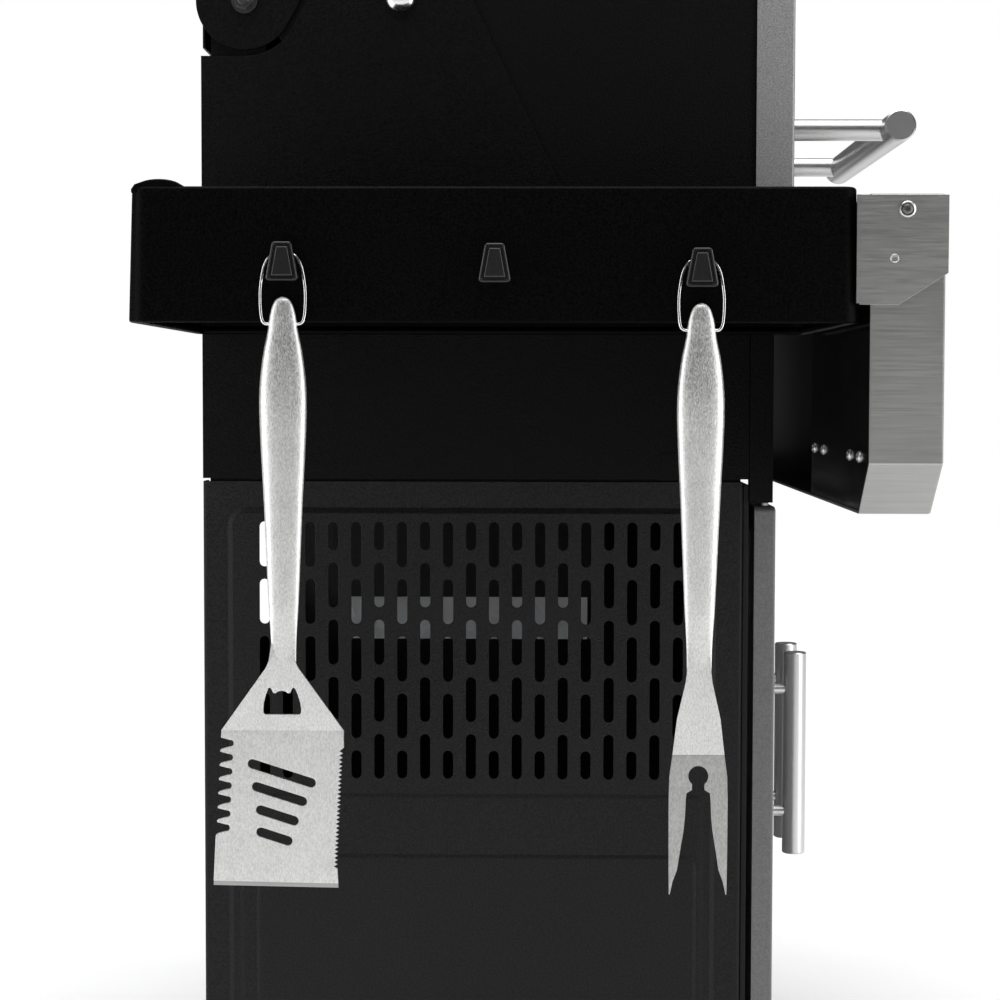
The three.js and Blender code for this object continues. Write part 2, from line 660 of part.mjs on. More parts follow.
const GRATE_Y = [POST_FRONT + SHEET + 2, TUB_REAR - SHEET - 2];
const GRATE_Z = [LEDGE_Z + 8 + GAP, LEDGE_Z + 15];
add('cooking_grate', slottedPlate(283, GRATE_Y, GRATE_Z, 22, 8, 12), CAST_IRON);

const RACK_Y = [30, 196];
const RACK_Z = [960, 964];
const rackLegs = [-255, 255].flatMap((x) => [RACK_Y[0] + 6, RACK_Y[1] - 6].map((y) => (
  rodZ(x, y, 4, GRATE_Z[1] + GAP, RACK_Z[0] + 1, 8)
)));
add('warming_rack', join(slottedPlate(262, RACK_Y, RACK_Z, 24, 5, 10), ...rackLegs), BRUSHED);

// ---------------------------------------------------------------- grease tray under the firebox

const TRAY = { half: 112, front: -81, rear: 141, low: 527, top: 568 };
const CRADLE_HALF = 130;
const cradleTop = block([-CRADLE_HALF, CRADLE_HALF], [-92, 156], [CABINET_TOP - 2, FIREBOX_BOTTOM]);
const cradleSides = SIDES.map(({ sign }) => join(
  block(sideRange(sign, CRADLE_HALF - SHEET, CRADLE_HALF), [-92, 156], [TRAY.top, FIREBOX_BOTTOM - 1]),
  block(sideRange(sign, TRAY.half + 4, CRADLE_HALF), [-92, 156], [TRAY.top, TRAY.top + SHEET]),
));
add('tray_cradle', cut(
  join(cradleTop, ...cradleSides),
  rodZ(0, 0, BURN_POT_RADIUS + 4, 600, 700, 20),
  rodX(0, AUGER_Z, AUGER_TUBE_RADIUS + 3, 100, 160),
), BLACK_COAT);

const LIP_Z = TRAY.top + SHEET + GAP;
const trayBox = pan(
  [[-TRAY.half, TRAY.half], [TRAY.front, TRAY.rear], [TRAY.low, LIP_Z + 1.5]],
  [
    [SHEET - TRAY.half, TRAY.half - SHEET],
    [TRAY.front + SHEET, TRAY.rear - SHEET],
    [TRAY.low + SHEET, LIP_Z + 10],
  ],
);
const trayLips = SIDES.map(({ sign }) => block(
  sideRange(sign, TRAY.half - 1, CRADLE_HALF - SHEET - 2),
  [TRAY.front, TRAY.rear],
  [LIP_Z, LIP_Z + 1.5],
));
const trayPull = block([-30, 30], [TRAY.front - 9, TRAY.front + 1], [LIP_Z, LIP_Z + 1.5]);
add('grease_tray', join(trayBox, ...trayLips, trayPull), GALVANISED);

// ---------------------------------------------------------------- feed

const AUGER_START = BURN_POT_RADIUS + 2;
const AUGER_END = 520;
const TUBE_WALL = 3;
const tube = cut(
  rodX(0, AUGER_Z, AUGER_TUBE_RADIUS, AUGER_START, AUGER_END, 20),
  rodX(0, AUGER_Z, AUGER_TUBE_RADIUS - TUBE_WALL, AUGER_START - 5, AUGER_END + 5, 20),
  block([CHUTE_X - 25, CHUTE_X + 25], [-18, 18], [AUGER_Z, AUGER_Z + 40]),
);
add('auger_tube', tube, GALVANISED);

// A flat bar twisted about its own length
function twistedBar(halfWidth, halfThickness, length, pitch, steps) {
  const bar = new THREE.BoxGeometry(length, 2 * halfWidth, 2 * halfThickness, steps, 1, 1);
  const place = bar.attributes.position;
  const point = new THREE.Vector3();
  const lengthAxis = new THREE.Vector3(1, 0, 0);
  for (let index = 0; index < place.count; index += 1) {
    point.fromBufferAttribute(place, index);
    point.applyAxisAngle(lengthAxis, (2 * Math.PI * point.x) / pitch);
    place.setXYZ(index, point.x, point.y, point.z);
  }
  return bar;
}

const SCREW_LENGTH = AUGER_END - AUGER_START - 8;
const screwFlight = twistedBar(21.5, 2.5, SCREW_LENGTH, 150, 18);
const screwShaft = rodX(0, 0, 7, -SCREW_LENGTH / 2 - 2, SCREW_LENGTH / 2 + 2, 6);
add('auger_screw', join(screwFlight, screwShaft), BRUSHED, [(AUGER_START + AUGER_END) / 2, 0, AUGER_Z]);

const motorBody = block([AUGER_END + 3, AUGER_END + 28], [-32, 32], [AUGER_Z - 30, AUGER_Z + 30]);
const motorCan = rodX(14, AUGER_Z + 4, 22, AUGER_END + 20, AUGER_END + 62, 16);
add('auger_motor', join(motorBody, motorCan), GALVANISED);

const FAN = { x: 345, y: 130, z: 650, radius: 38 };
const fanHousing = cut(
  block([FAN.x - 17, FAN.x + 17], [FAN.y - 46, FAN.y + 46], [FAN.z - 46, FAN.z + 46]),
  rodX(FAN.y, FAN.z, FAN.radius + 3, FAN.x - 13, FAN.x + 30, 20),
  rodX(FAN.y, FAN.z, 18, FAN.x - 30, FAN.x + 10, 16),
);
add('fan_housing', fanHousing, BLACK_PLASTIC);

const BLADES = 7;
const blades = Array.from({ length: BLADES }, (unused, index) => (
  block([-10, 10], [8, FAN.radius - 1], [-1.2, 1.2]).rotateX((2 * Math.PI * index) / BLADES)
));
const impeller = join(rodX(0, 0, 11, -11, 11, 14), ...blades);
add('fan_impeller', impeller, BLACK_PLASTIC, [FAN.x + 3, FAN.y, FAN.z]);

// ---------------------------------------------------------------- hopper

const hopperWalls = pan(
  [[HOPPER.left, HOPPER.right], [HOPPER.front, HOPPER.rear], [HOPPER.low, HOPPER.high]],
  [
    [HOPPER.left + SHEET, HOPPER.right - SHEET],
    [HOPPER.front + SHEET, HOPPER.rear - SHEET],
    [HOPPER.low - 10, HOPPER.high + 10],
  ],
);
const tubePassage = rodX(0, AUGER_Z, AUGER_TUBE_RADIUS + 3, HOPPER.left - 10, HOPPER.left + 10);
// The box bolts to the firebox side through two stand-off blocks
const standoffs = [-150, 150].map((y) => block(
  [HALF_WIDTH + GAP, HOPPER.left + 1],
  [y - 20, y + 20],
  [700, 850],
));
add('hopper_box', cut(join(hopperWalls, ...standoffs), tubePassage), BLACK_COAT);

// A four sided funnel: a block drawn in towards its lower end
function funnel(topX, bottomX, topY, bottomY, z0, z1) {
  const shape = new THREE.BoxGeometry(2, 2, z1 - z0);
  const place = shape.attributes.position;
  for (let index = 0; index < place.count; index += 1) {
    const isTop = place.getZ(index) > 0;
    place.setX(index, place.getX(index) * (isTop ? topX : bottomX));
    place.setY(index, place.getY(index) * (isTop ? topY : bottomY));
  }
  return shape.translate(0, 0, (z0 + z1) / 2);
}
const chuteZ = [AUGER_Z + AUGER_TUBE_RADIUS + 1, 850];
const chuteHalfX = (HOPPER.right - HOPPER.left) / 2 - SHEET - 1;
const chuteHalfY = HOPPER.rear - SHEET - 1;
add('hopper_chute', cut(
  funnel(chuteHalfX, 28, chuteHalfY, 22, ...chuteZ),
  funnel(chuteHalfX - 2, 26, chuteHalfY - 2, 20, chuteZ[0] - 0.5, chuteZ[1] + 0.5),
), GALVANISED, [(HOPPER.left + HOPPER.right) / 2, 0, 0]);

// The cover has no rear skirt, so that it can turn up over its hinge
const HOPPER_HINGE = { y: HOPPER.rear + 7, z: HOPPER.high + 19 };
const hopperLidTop = HOPPER.high + 22;
const hopperCover = pan(
  [
    [HOPPER.left - 2, HOPPER.right + 4],
    [HOPPER.front - 6, HOPPER.rear + 4],
    [HOPPER.high - 12, hopperLidTop],
  ],
  [
    [HOPPER.left - 1, HOPPER.right + 2],
    [HOPPER.front - 4, HOPPER.rear + 10],
    [HOPPER.high - 20, hopperLidTop - SHEET],
  ],
);
const hopperKnuckle = rodX(HOPPER_HINGE.y, HOPPER_HINGE.z, 4, HOPPER.left + 40, HOPPER.right - 40, 12);
const hopperGrip = block([400, 510], [HOPPER.front - 26, HOPPER.front - 5], [HOPPER.high, HOPPER.high + 8]);
add('hopper_lid', join(hopperCover, hopperKnuckle, hopperGrip), BLACK_COAT);

const inlet = pan(
  [[500, 540], [HOPPER.rear + GAP, HOPPER.rear + 14], [640, 668]],
  [[504, 536], [HOPPER.rear + 4, HOPPER.rear + 20], [644, 664]],
);
add('power_inlet', inlet, BLACK_PLASTIC);

// ---------------------------------------------------------------- control fascia

// Seen from the front, the two lower corners are cut off at a slant
function fasciaShape(inset) {
  const end = FASCIA_END - inset;
  const low = FASCIA_BOTTOM + inset;
  const cornerX = FASCIA_CORNER.x - inset * 0.4;
  const cornerZ = FASCIA_CORNER.z - inset * 0.4;
  return outline([
    [-end, FASCIA_TOP - inset], [-end, low + cornerZ], [cornerX - end, low],
    [end - cornerX, low], [end, low + cornerZ], [end, FASCIA_TOP - inset],
  ]);
}
add('control_fascia', cut(
  plateXZ(fasciaShape(0), FASCIA_FRONT, FASCIA_REAR),
  plateXZ(fasciaShape(SHEET), FASCIA_FRONT + SHEET, FASCIA_REAR + 10),
), BRUSHED);

// A closing panel behind the fascia's left end, from the shelf's end to the firebox post
const COVER_Y = [FASCIA_REAR - SHEET, FASCIA_REAR - GAP];
const coverInset = SHEET + GAP;
const coverEnd = GAP + SHEET - FASCIA_END;
add('fascia_back_cover', plateXZ(outline([
  [coverEnd, FASCIA_TOP - coverInset], [coverEnd, FASCIA_BOTTOM + FASCIA_CORNER.z + 2],
  [FASCIA_CORNER.x - FASCIA_END + 1, FASCIA_BOTTOM + coverInset],
  [-HALF_WIDTH, FASCIA_BOTTOM + coverInset], [-HALF_WIDTH, FASCIA_TOP - coverInset],
]), ...COVER_Y), GLOSS_BLACK);

// The end bracket ties the shelf to the fascia; its lower front corner is cut off
const BRACKET_Z = [819, 895];
add('fascia_bracket', plateYZ(outline([
  [SHELF_FRONT - 1, BRACKET_Z[1]], [FASCIA_FRONT - 1.4, BRACKET_Z[1]],
  [FASCIA_FRONT - 1.4, BRACKET_Z[0] + 22], [FASCIA_FRONT + 33, BRACKET_Z[0]],
  [SHELF_FRONT - 1, BRACKET_Z[0]],
]), SHELF_END - GAP - SHEET, SHELF_END - GAP), BRUSHED);

const BEZEL = { x0: 60, x1: 240, z0: 755, z1: 845, front: -327 };
const BUTTON = { x: 88, z: 800, radius: 8 };
const KNOB_X = 202;
const bezel = cut(
  block([BEZEL.x0, BEZEL.x1], [BEZEL.front, FASCIA_FRONT - GAP], [BEZEL.z0, BEZEL.z1]),
  rodY(BUTTON.x, BUTTON.z, BUTTON.radius + 1, BEZEL.front - 5, BEZEL.front + 7, 16),
  block([106, 172], [BEZEL.front - 5, BEZEL.front + 1.5], [772, 828]),
);
add('controller_bezel', bezel, BLACK_PLASTIC);
const button = rodY(0, 0, BUTTON.radius, BEZEL.front - 5, BEZEL.front + 4, 16);
add('power_button', button, BLACK_PLASTIC, [BUTTON.x, 0, BUTTON.z]);
const knobBody = rodY(0, 0, 19, BEZEL.front - 19, BEZEL.front - GAP, 20);
const knobRib = block([-3, 3], [BEZEL.front - 24, BEZEL.front - 15], [-18, 18]);
add('selector_knob', join(knobBody, knobRib), BRUSHED, [KNOB_X, 0, BUTTON.z]);

// ---------------------------------------------------------------- side shelf

const SHELF_SIDE = -HALF_WIDTH - GAP;
const tray = pan(
  [[SHELF_END, SHELF_SIDE], [SHELF_FRONT, SHELF_REAR], [SHELF_BOTTOM, SHELF_TOP]],
  [
    [SHELF_END + SHEET, SHELF_SIDE - SHEET],
    [SHELF_FRONT + SHEET, SHELF_REAR - SHEET],
    [SHELF_BOTTOM - 10, SHELF_TOP - SHEET],
  ],
);
const shelfRidge = block(
  [SHELF_END, SHELF_SIDE],
  [SHELF_REAR - 30, SHELF_REAR],
  [SHELF_TOP - 1, SHELF_TOP + 5],
);
add('side_shelf', join(tray, shelfRidge), BLACK_COAT);

const HOOK_PLATE = [TOOL_X - 7.5, TOOL_X - 3.5];
for (const { name, y, z } of HOOKS) {
  const face = plateYZ(
    outline([[-11.5, -13.5], [11.5, -13.5], [6.5, 13.5], [-6.5, 13.5]]),
    ...HOOK_PLATE,
  );
  const ledge = block([HOOK_PLATE[1] - 1, SHELF_END - GAP], [-5.5, 5.5], [-10, 2.3]);
  add(name, join(face, ledge), BLACK_PLASTIC, [0, y, z]);
}

// ---------------------------------------------------------------- tool loops

// A ring of round wire bent along a closed outline in Y and Z
function wireLoop(points, radius, sides, steps) {
  const curve = new THREE.CatmullRomCurve3(points.map(([y, z]) => new THREE.Vector3(0, y, z)), true);
  const ring = new THREE.TorusGeometry(2, 1, sides, steps);
  const place = ring.attributes.position;
  const across = new THREE.Vector3(1, 0, 0);
  for (let index = 0; index < place.count; index += 1) {
    const [x, y, z] = [place.getX(index), place.getY(index), place.getZ(index)];
    const turn = (Math.atan2(y, x) / (2 * Math.PI) + 1) % 1;
    const outward = Math.hypot(x, y) - 2;
    const centre = curve.getPoint(turn);
    const normal = curve.getTangent(turn).cross(across);
    centre.addScaledVector(normal, outward * radius).addScaledVector(across, z * radius);
    place.setXYZ(index, centre.x, centre.y, centre.z);
  }
  return ring;
}

// Heights are below the hook's ledge; the straight bar at the bottom carries the tool
const LOOP_SIDE = [
  [7.5, 0], [12.6, -7], [15.2, -20], [15.6, -32], [14.2, -42.5], [11, -LOOP_DROP], [5.5, -LOOP_DROP],
];
const LOOP_POINTS = [
  [0, 0], ...LOOP_SIDE, [0, -LOOP_DROP],
  ...LOOP_SIDE.map(([y, z]) => [-y, z]).reverse(),
];
const LOOP_REST = 4;
for (const { word, hook } of [{ word: 'rear', hook: HOOKS[0] }, { word: 'front', hook: HOOKS[2] }]) {
  const loop = wireLoop(LOOP_POINTS, WIRE_RADIUS, 6, 42);
  add(`tool_loop_${word}`, loop, BRUSHED, [TOOL_X, hook.y, hook.z + LOOP_REST]);
}

// ---------------------------------------------------------------- tools

// Both tools have the same flattened, waisted handle; heights are from the loop's bottom bar
const HANDLE_THICKNESS = 0.42;
function toolHandle() {
  const profile = [
    [0, -248], [6.5, -240], [8.9, -224], [10.8, -185], [13.6, -121], [16, -75], [16.5, -46],
    [14.2, -22], [10.6, -4], [8.8, 8], [5.5, 16.5], [0, 19.5],
  ].map(([radius, z]) => new THREE.Vector2(radius, z));
  return new THREE.LatheGeometry(profile, 16).rotateX(Math.PI / 2).scale(HANDLE_THICKNESS, 1, 1);
}

const HEAD_HALF = 0.9;
const loopHole = rodY(0, 0, 2.9, -30, 30, 10);

// The blade: the neck flares to the shoulders; the +Y edge has deep saw teeth
function spatulaBlade() {
  const blade = plateYZ(outline([
    [7, -215], [9, -231], [20, -252], [43, -278], [49, -385],
    [-39, -387], [-43, -290], [-43, -278], [-20, -252], [-9, -231], [-7, -215],
  ]), -HEAD_HALF, HEAD_HALF);
  const teeth = Array.from({ length: 7 }, (unused, index) => {
    const z = -287 - index * 9.5;
    return plateYZ(outline([[55, z], [34.5, z - 3.5], [34.5, z - 5.5], [55, z - 6]]), -5, 5);
  });
  const opener = plateYZ(outline([
    [13, -268], [12, -259], [8.6, -250], [4, -254], [-3, -254], [-7, -250], [-11.5, -259], [-12.6, -268],
  ]), -5, 5);
  const slots = [
    [19.9, -303.4, -21.6, -316.5], [17, -319.3, -15.4, -329.4],
    [14.2, -335.5, -9.5, -342.9], [14, -350.9, -5.1, -356.9],
  ].map(([y0, z0, y1, z1]) => {
    const along = new THREE.Vector2(y1 - y0, z1 - z0).normalize().multiplyScalar(3.2);
    return plateYZ(outline([
      [y0 - along.x, z0 - along.y], [y0 - along.y, z0 + along.x],
      [y1 - along.y, z1 + along.x], [y1 + along.x, z1 + along.y],
      [y1 + along.y, z1 - along.x], [y0 + along.y, z0 - along.x],
    ]), -5, 5);
  });
  return cut(blade, ...teeth, opener, ...slots);
}

// Two prongs with a round bottle opener between their roots
function forkBlade() {
  const side = (sign) => [
    [6.5, -215], [10, -232], [15, -265], [18.2, -290], [20.6, -321], [14, -387],
  ].map(([y, z]) => [sign * y, z]);
  const inner = [[12.2, -369], [8.5, -355], [7.5, -334], [6.5, -318]];
  const opener = [[3.6, -311], [6.6, -306], [5.6, -299], [0, -297]];
  return plateYZ(outline([
    ...side(1),
    ...inner, ...opener,
    ...opener.slice(0, 3).reverse().map(([y, z]) => [-y, z]),
    ...inner.slice().reverse().map(([y, z]) => [-y, z]),
    ...side(-1).reverse(),
  ]), -HEAD_HALF, HEAD_HALF);
}

const tools = [
  { name: 'spatula', head: spatulaBlade(), hook: HOOKS[0] },
  { name: 'meat_fork', head: forkBlade(), hook: HOOKS[2] },
];
for (const { name, head, hook } of tools) {
  const tool = cut(join(toolHandle(), head), loopHole);
  add(name, tool, BRUSHED, [TOOL_X, hook.y, hook.z + LOOP_REST - LOOP_DROP]);
}

export default grill;
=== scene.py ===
import math

import bmesh
import bpy
from mathutils import Matrix, Vector


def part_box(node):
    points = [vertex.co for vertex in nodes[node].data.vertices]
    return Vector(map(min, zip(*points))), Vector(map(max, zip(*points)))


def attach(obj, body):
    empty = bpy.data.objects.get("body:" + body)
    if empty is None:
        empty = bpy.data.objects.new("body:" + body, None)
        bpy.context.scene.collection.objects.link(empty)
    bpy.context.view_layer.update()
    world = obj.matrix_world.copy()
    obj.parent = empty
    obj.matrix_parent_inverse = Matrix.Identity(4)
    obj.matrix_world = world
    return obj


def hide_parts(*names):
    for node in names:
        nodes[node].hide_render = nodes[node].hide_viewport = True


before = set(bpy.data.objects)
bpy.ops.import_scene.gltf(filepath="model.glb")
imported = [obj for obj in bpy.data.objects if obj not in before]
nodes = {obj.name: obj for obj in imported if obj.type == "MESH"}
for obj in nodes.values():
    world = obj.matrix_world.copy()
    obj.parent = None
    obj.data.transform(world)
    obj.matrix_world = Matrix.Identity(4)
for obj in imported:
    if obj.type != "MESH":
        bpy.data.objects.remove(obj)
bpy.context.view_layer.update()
MM = 0.001


# ---------------------------------------------------------------- casters
# Four swivel casters carry the cabinet. Each is a pressed zinc plated fork under a round turntable,
# with a rubber tyre on a nylon hub. The front two have a moulded brake pedal over the wheel.


class Value:
    """A socket of a finish's node tree that adds Math nodes as it is worked with."""

    def __init__(self, finish, socket):
        self.finish = finish
        self.socket = socket

    def maths(self, operation, left, right):
        return self.finish.node("Math", {"operation": operation}, {0: left, 1: right})

    def __add__(self, other):
        return self.maths("ADD", self, other)

    def __radd__(self, other):
        return self.maths("ADD", other, self)

    def __sub__(self, other):
        return self.maths("SUBTRACT", self, other)

    def __rsub__(self, other):
        return self.maths("SUBTRACT", other, self)

    def __mul__(self, other):
        return self.maths("MULTIPLY", self, other)

    def __rmul__(self, other):
        return self.maths("MULTIPLY", other, self)


class Finish:
    """A material on one Principled shader, laid out along the grill's own axes."""

    def __init__(self, name, **fixed):
        self.material = bpy.data.materials.new(name)
        self.material.use_nodes = True
        self.tree = self.material.node_tree
        self.shader = self.tree.nodes["Principled BSDF"]
        for socket, value in fixed.items():
            self.shader.inputs[socket.replace("_", " ")].default_value = value
        self.place = self.node("TexCoord", output="Object")

    def node(self, kind, settings=None, inputs=None, output=0):
        made = self.tree.nodes.new("ShaderNode" + kind)
        for key, value in (settings or {}).items():
            if key == "stops":
                for stop, (position, colour) in zip(made.color_ramp.elements, value):
                    stop.position = position
                    stop.color = colour
            else:
                setattr(made, key, value)
        for key, value in (inputs or {}).items():
            self.link(made.inputs[key], value)
        return Value(self, made.outputs[output])

    def link(self, socket, value):
        if isinstance(value, Value):
            self.tree.links.new(value.socket, socket)
        else:
            socket.default_value = value

    def feed(self, name, value):
        self.link(self.shader.inputs[name], value)

    def noise(self, scale, detail=2.0, stretch=(1, 1, 1)):
        place = self.node("Mapping", None, {"Vector": self.place, "Scale": stretch})
        inputs = {"Vector": place, "Scale": scale, "Detail": detail, "Roughness": 0.6}
        return self.node("TexNoise", None, inputs)

    def cells(self, scale):
        return self.node("TexVoronoi", None, {"Vector": self.place, "Scale": scale}, "Color")

    def ramp(self, share, low, high):
        stops = [(low, (0, 0, 0, 1)), (high, (1, 1, 1, 1))]
        return self.node("ValToRGB", {"stops": stops}, {"Fac": share})

    def mix(self, share, low, high):
        inputs = {0: share, 6: colour(low), 7: colour(high)}
        return self.node("Mix", {"data_type": "RGBA"}, inputs, 2)

    def raise_by(self, height, strength, distance_mm):
        inputs = {"Strength": strength, "Distance": distance_mm * MM, "Height": height}
        self.feed("Normal", self.node("Bump", None, inputs))


def colour(shade):
    if isinstance(shade, Value):
        return shade
    if isinstance(shade, (int, float)):
        return (shade, shade, shade, 1)
    return (*shade, 1)


def brushed(name, dark, light, stretch, roughness=0.3, bump=0.12):
    """Sheet steel with fine scratches drawn out along one direction."""
    steel = Finish(name, Metallic=1.0)
    scratches = steel.noise(1.0, 5.0, stretch)
    broad = steel.noise(9.0, 3.0)
    pits = steel.noise(700.0, 2.0)
    steel.feed("Base Color", steel.mix(scratches * 0.7 + broad * 0.3, dark, light))
    steel.feed("Roughness", scratches * 0.22 + broad * 0.08 + (roughness - 0.15))
    steel.raise_by(scratches * 0.8 + pits * 0.2, bump, 0.15)
    return steel


def blasted(name, dark, light, roughness=0.42):
    """Steel with the even, faintly sparkling face of fine shot blasting."""
    steel = Finish(name, Metallic=1.0)
    grain = steel.ramp(steel.noise(1.0, 3.0, (1100, 1100, 500)), 0.34, 0.66)
    cloud = steel.noise(45.0, 4.0)
    steel.feed("Base Color", steel.mix(grain * 0.6 + cloud * 0.4, dark, light))
    steel.feed("Roughness", grain * 0.14 + cloud * 0.1 + (roughness - 0.12))
    steel.raise_by(grain, 0.3, 0.08)
    return steel


def moulded(name, dark, light, roughness=0.5, grain_scale=1400.0, bump=0.25):
    """Moulded plastic or rubber with a fine leathery grain."""
    plastic = Finish(name)
    grain = plastic.noise(grain_scale, 2.0)
    cloud = plastic.noise(20.0, 3.0)
    plastic.feed("Base Color", plastic.mix(grain * 0.4 + cloud * 0.6, dark, light))
    plastic.feed("Roughness", grain * 0.12 + cloud * 0.12 + (roughness - 0.12))
    plastic.raise_by(grain, bump, 0.25)
    return plastic


def new_piece(name, points, faces):
    mesh = bpy.data.meshes.new(name)
    mesh.from_pydata([tuple(p) for p in points], [], faces)
    mesh.validate()
    mesh.shade_smooth()
    mesh.set_sharp_from_angle(angle=math.radians(32))
    piece = bpy.data.objects.new(name, mesh)
    bpy.context.scene.collection.objects.link(piece)
    return piece


def joined(name, *pieces):
    """One object out of several, under a new name."""
    bpy.ops.object.select_all(action="DESELECT")
    for piece in pieces:
        piece.select_set(True)
    bpy.context.view_layer.objects.active = pieces[0]
    bpy.ops.object.join()
    pieces[0].name = name
    return pieces[0]


def finished(piece, finish, body, stands_for=()):
    """Coats a new piece, puts it on its body and hides the nodes it stands for."""
    piece.data.materials.clear()
    piece.data.materials.append(finish.material)
    even = piece.modifiers.new("even", "WEIGHTED_NORMAL")
    even.keep_sharp = True
    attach(piece, body)
    if stands_for:
        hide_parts(*stands_for)
    return piece


def coated(node, finish, edge=0.0):
    """Coats a node that is kept as it is, and rounds its edges by so many millimetres."""
    piece = nodes[node]
    piece.data.materials.clear()
    piece.data.materials.append(finish.material)
    if edge:
        weld = piece.modifiers.new("weld", "WELD")
        weld.merge_threshold = 0.02 * MM
        bevel = piece.modifiers.new("edge", "BEVEL")
        bevel.width = edge * MM
        bevel.segments = 2
        bevel.limit_method = "ANGLE"
        bevel.angle_limit = math.radians(40)
    return piece


AXES = {
    "x": Matrix(((0, 0, 1), (1, 0, 0), (0, 1, 0))),
    "y": Matrix(((1, 0, 0), (0, 0, 1), (0, 1, 0))),
    "z": Matrix(((1, 0, 0), (0, 1, 0), (0, 0, 1))),
}


def turned(name, profile, centre, axis, sides=48):
    """A turned piece: (radius, distance along the axis) in millimetres about a centre in metres.

    A third number gives a flattened piece its own half thickness there."""
    points = []
    for radius, along, *flat in profile:
        for step in range(sides):
            angle = 2 * math.pi * step / sides
            u = (flat[0] if flat else radius) * math.cos(angle)
            v = radius * math.sin(angle)
            points.append(Vector(centre) + AXES[axis] @ Vector((u, v, along)) * MM)
    faces = [
        (
            row * sides + step,
            row * sides + (step + 1) % sides,
            (row + 1) * sides + (step + 1) % sides,
            (row + 1) * sides + step,
        )
        for row in range(len(profile) - 1)
        for step in range(sides)
    ]
    closed = profile[0] == profile[-1]
    if not closed:
        last = (len(profile) - 1) * sides
        faces += [tuple(range(sides))[::-1], tuple(range(last, last + sides))]
    piece = new_piece(name, points, faces)
    tidy_up(piece)
    return piece


def tidy_up(piece):
    """Welds coincident corners and turns every face outwards."""
    work = bmesh.new()
    work.from_mesh(piece.data)
    bmesh.ops.remove_doubles(work, verts=work.verts, dist=2e-6)
    bmesh.ops.dissolve_degenerate(work, edges=work.edges, dist=1e-6)
    bmesh.ops.recalc_face_normals(work, faces=work.faces)
    work.to_mesh(piece.data)
    work.free()
    piece.data.shade_smooth()
    piece.data.set_sharp_from_angle(angle=math.radians(32))


def middle(node):
    low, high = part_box(node)
    return (low + high) / 2


zinc = brushed("zinc_plate", (0.36, 0.37, 0.38), (0.62, 0.62, 0.61), (60, 60, 700), 0.4)
tyre = moulded("tyre_rubber", 0.035, 0.075, 0.75, 900.0, 0.4)
hub_nylon = moulded("hub_nylon", 0.11, 0.16, 0.5)
pedal_plastic = moulded("pedal_plastic", 0.018, 0.034, 0.5)
for word in ("front_left", "front_right", "rear_left", "rear_right"):
    coated(f"caster_fork_{word}", zinc, 1.0)
    wheel = f"caster_wheel_{word}"
    low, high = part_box(wheel)
    radius = (high.z - low.z) / 2 / MM
    half = (high.x - low.x) / 2 / MM
    tread = turned(
        f"tyre_{word}",
        [
            (26, -half + 1.5), (28, -half + 0.4), (radius - 4, -half), (radius - 1.2, -half + 1.2),
            (radius, -half + 4), (radius, -1.6), (radius - 1.1, -1), (radius - 1.1, 1), (radius, 1.6),
            (radius, half - 4), (radius - 1.2, half - 1.2), (radius - 4, half), (28, half - 0.4),
            (26, half - 1.5), (26, -half + 1.5),
        ],
        middle(wheel), "x", 64,
    )
    finished(tread, tyre, f"wheel_{word}", [wheel])
    hub = turned(
        f"hub_{word}",
        [
            (4.4, -half), (9, -half), (10, -half + 1), (10.6, -4), (21, -3), (23, -half + 2),
            (26.4, -half + 2), (26.4, half - 2), (23, half - 2), (21, 3), (10.6, 4), (10, half - 1),
            (9, half), (4.4, half), (4.4, -half),
        ],
        middle(wheel), "x", 48,
    )
    finished(hub, hub_nylon, f"wheel_{word}")
for word in ("front_left", "front_right"):
    coated(f"caster_pedal_{word}", pedal_plastic, 1.0)


# ---------------------------------------------------------------- cabinet
# The cabinet is folded sheet steel with a fine textured black powder coat. Its left side has a raised
# field pressed into it, pierced by columns of round ended slots, and a second shallow panel below.


def powder(name, dark, light, roughness=0.55, grain_scale=640.0, bump=0.5, specular=0.35):
    """Powder coat: a fine pebbled skin whose tone drifts slightly over the sheet."""
    coat = Finish(name, Specular_IOR_Level=specular)
    pebble = coat.ramp(coat.noise(grain_scale, 2.5), 0.36, 0.64)
    drift = coat.noise(5.0, 4.0)
    dust = coat.ramp(coat.noise(330.0, 2.0), 0.66, 0.8)
    coat.feed("Base Color", coat.mix(pebble * 0.55 + drift * 0.25 + dust * 0.2, dark, light))
    coat.feed("Roughness", pebble * 0.12 + drift * 0.1 + (roughness - 0.11))
    coat.raise_by(pebble, bump, 0.2)
    return coat


def bent(degrees):
    """The cosine and sine of an angle in degrees."""
    return math.cos(math.radians(degrees)), math.sin(math.radians(degrees))


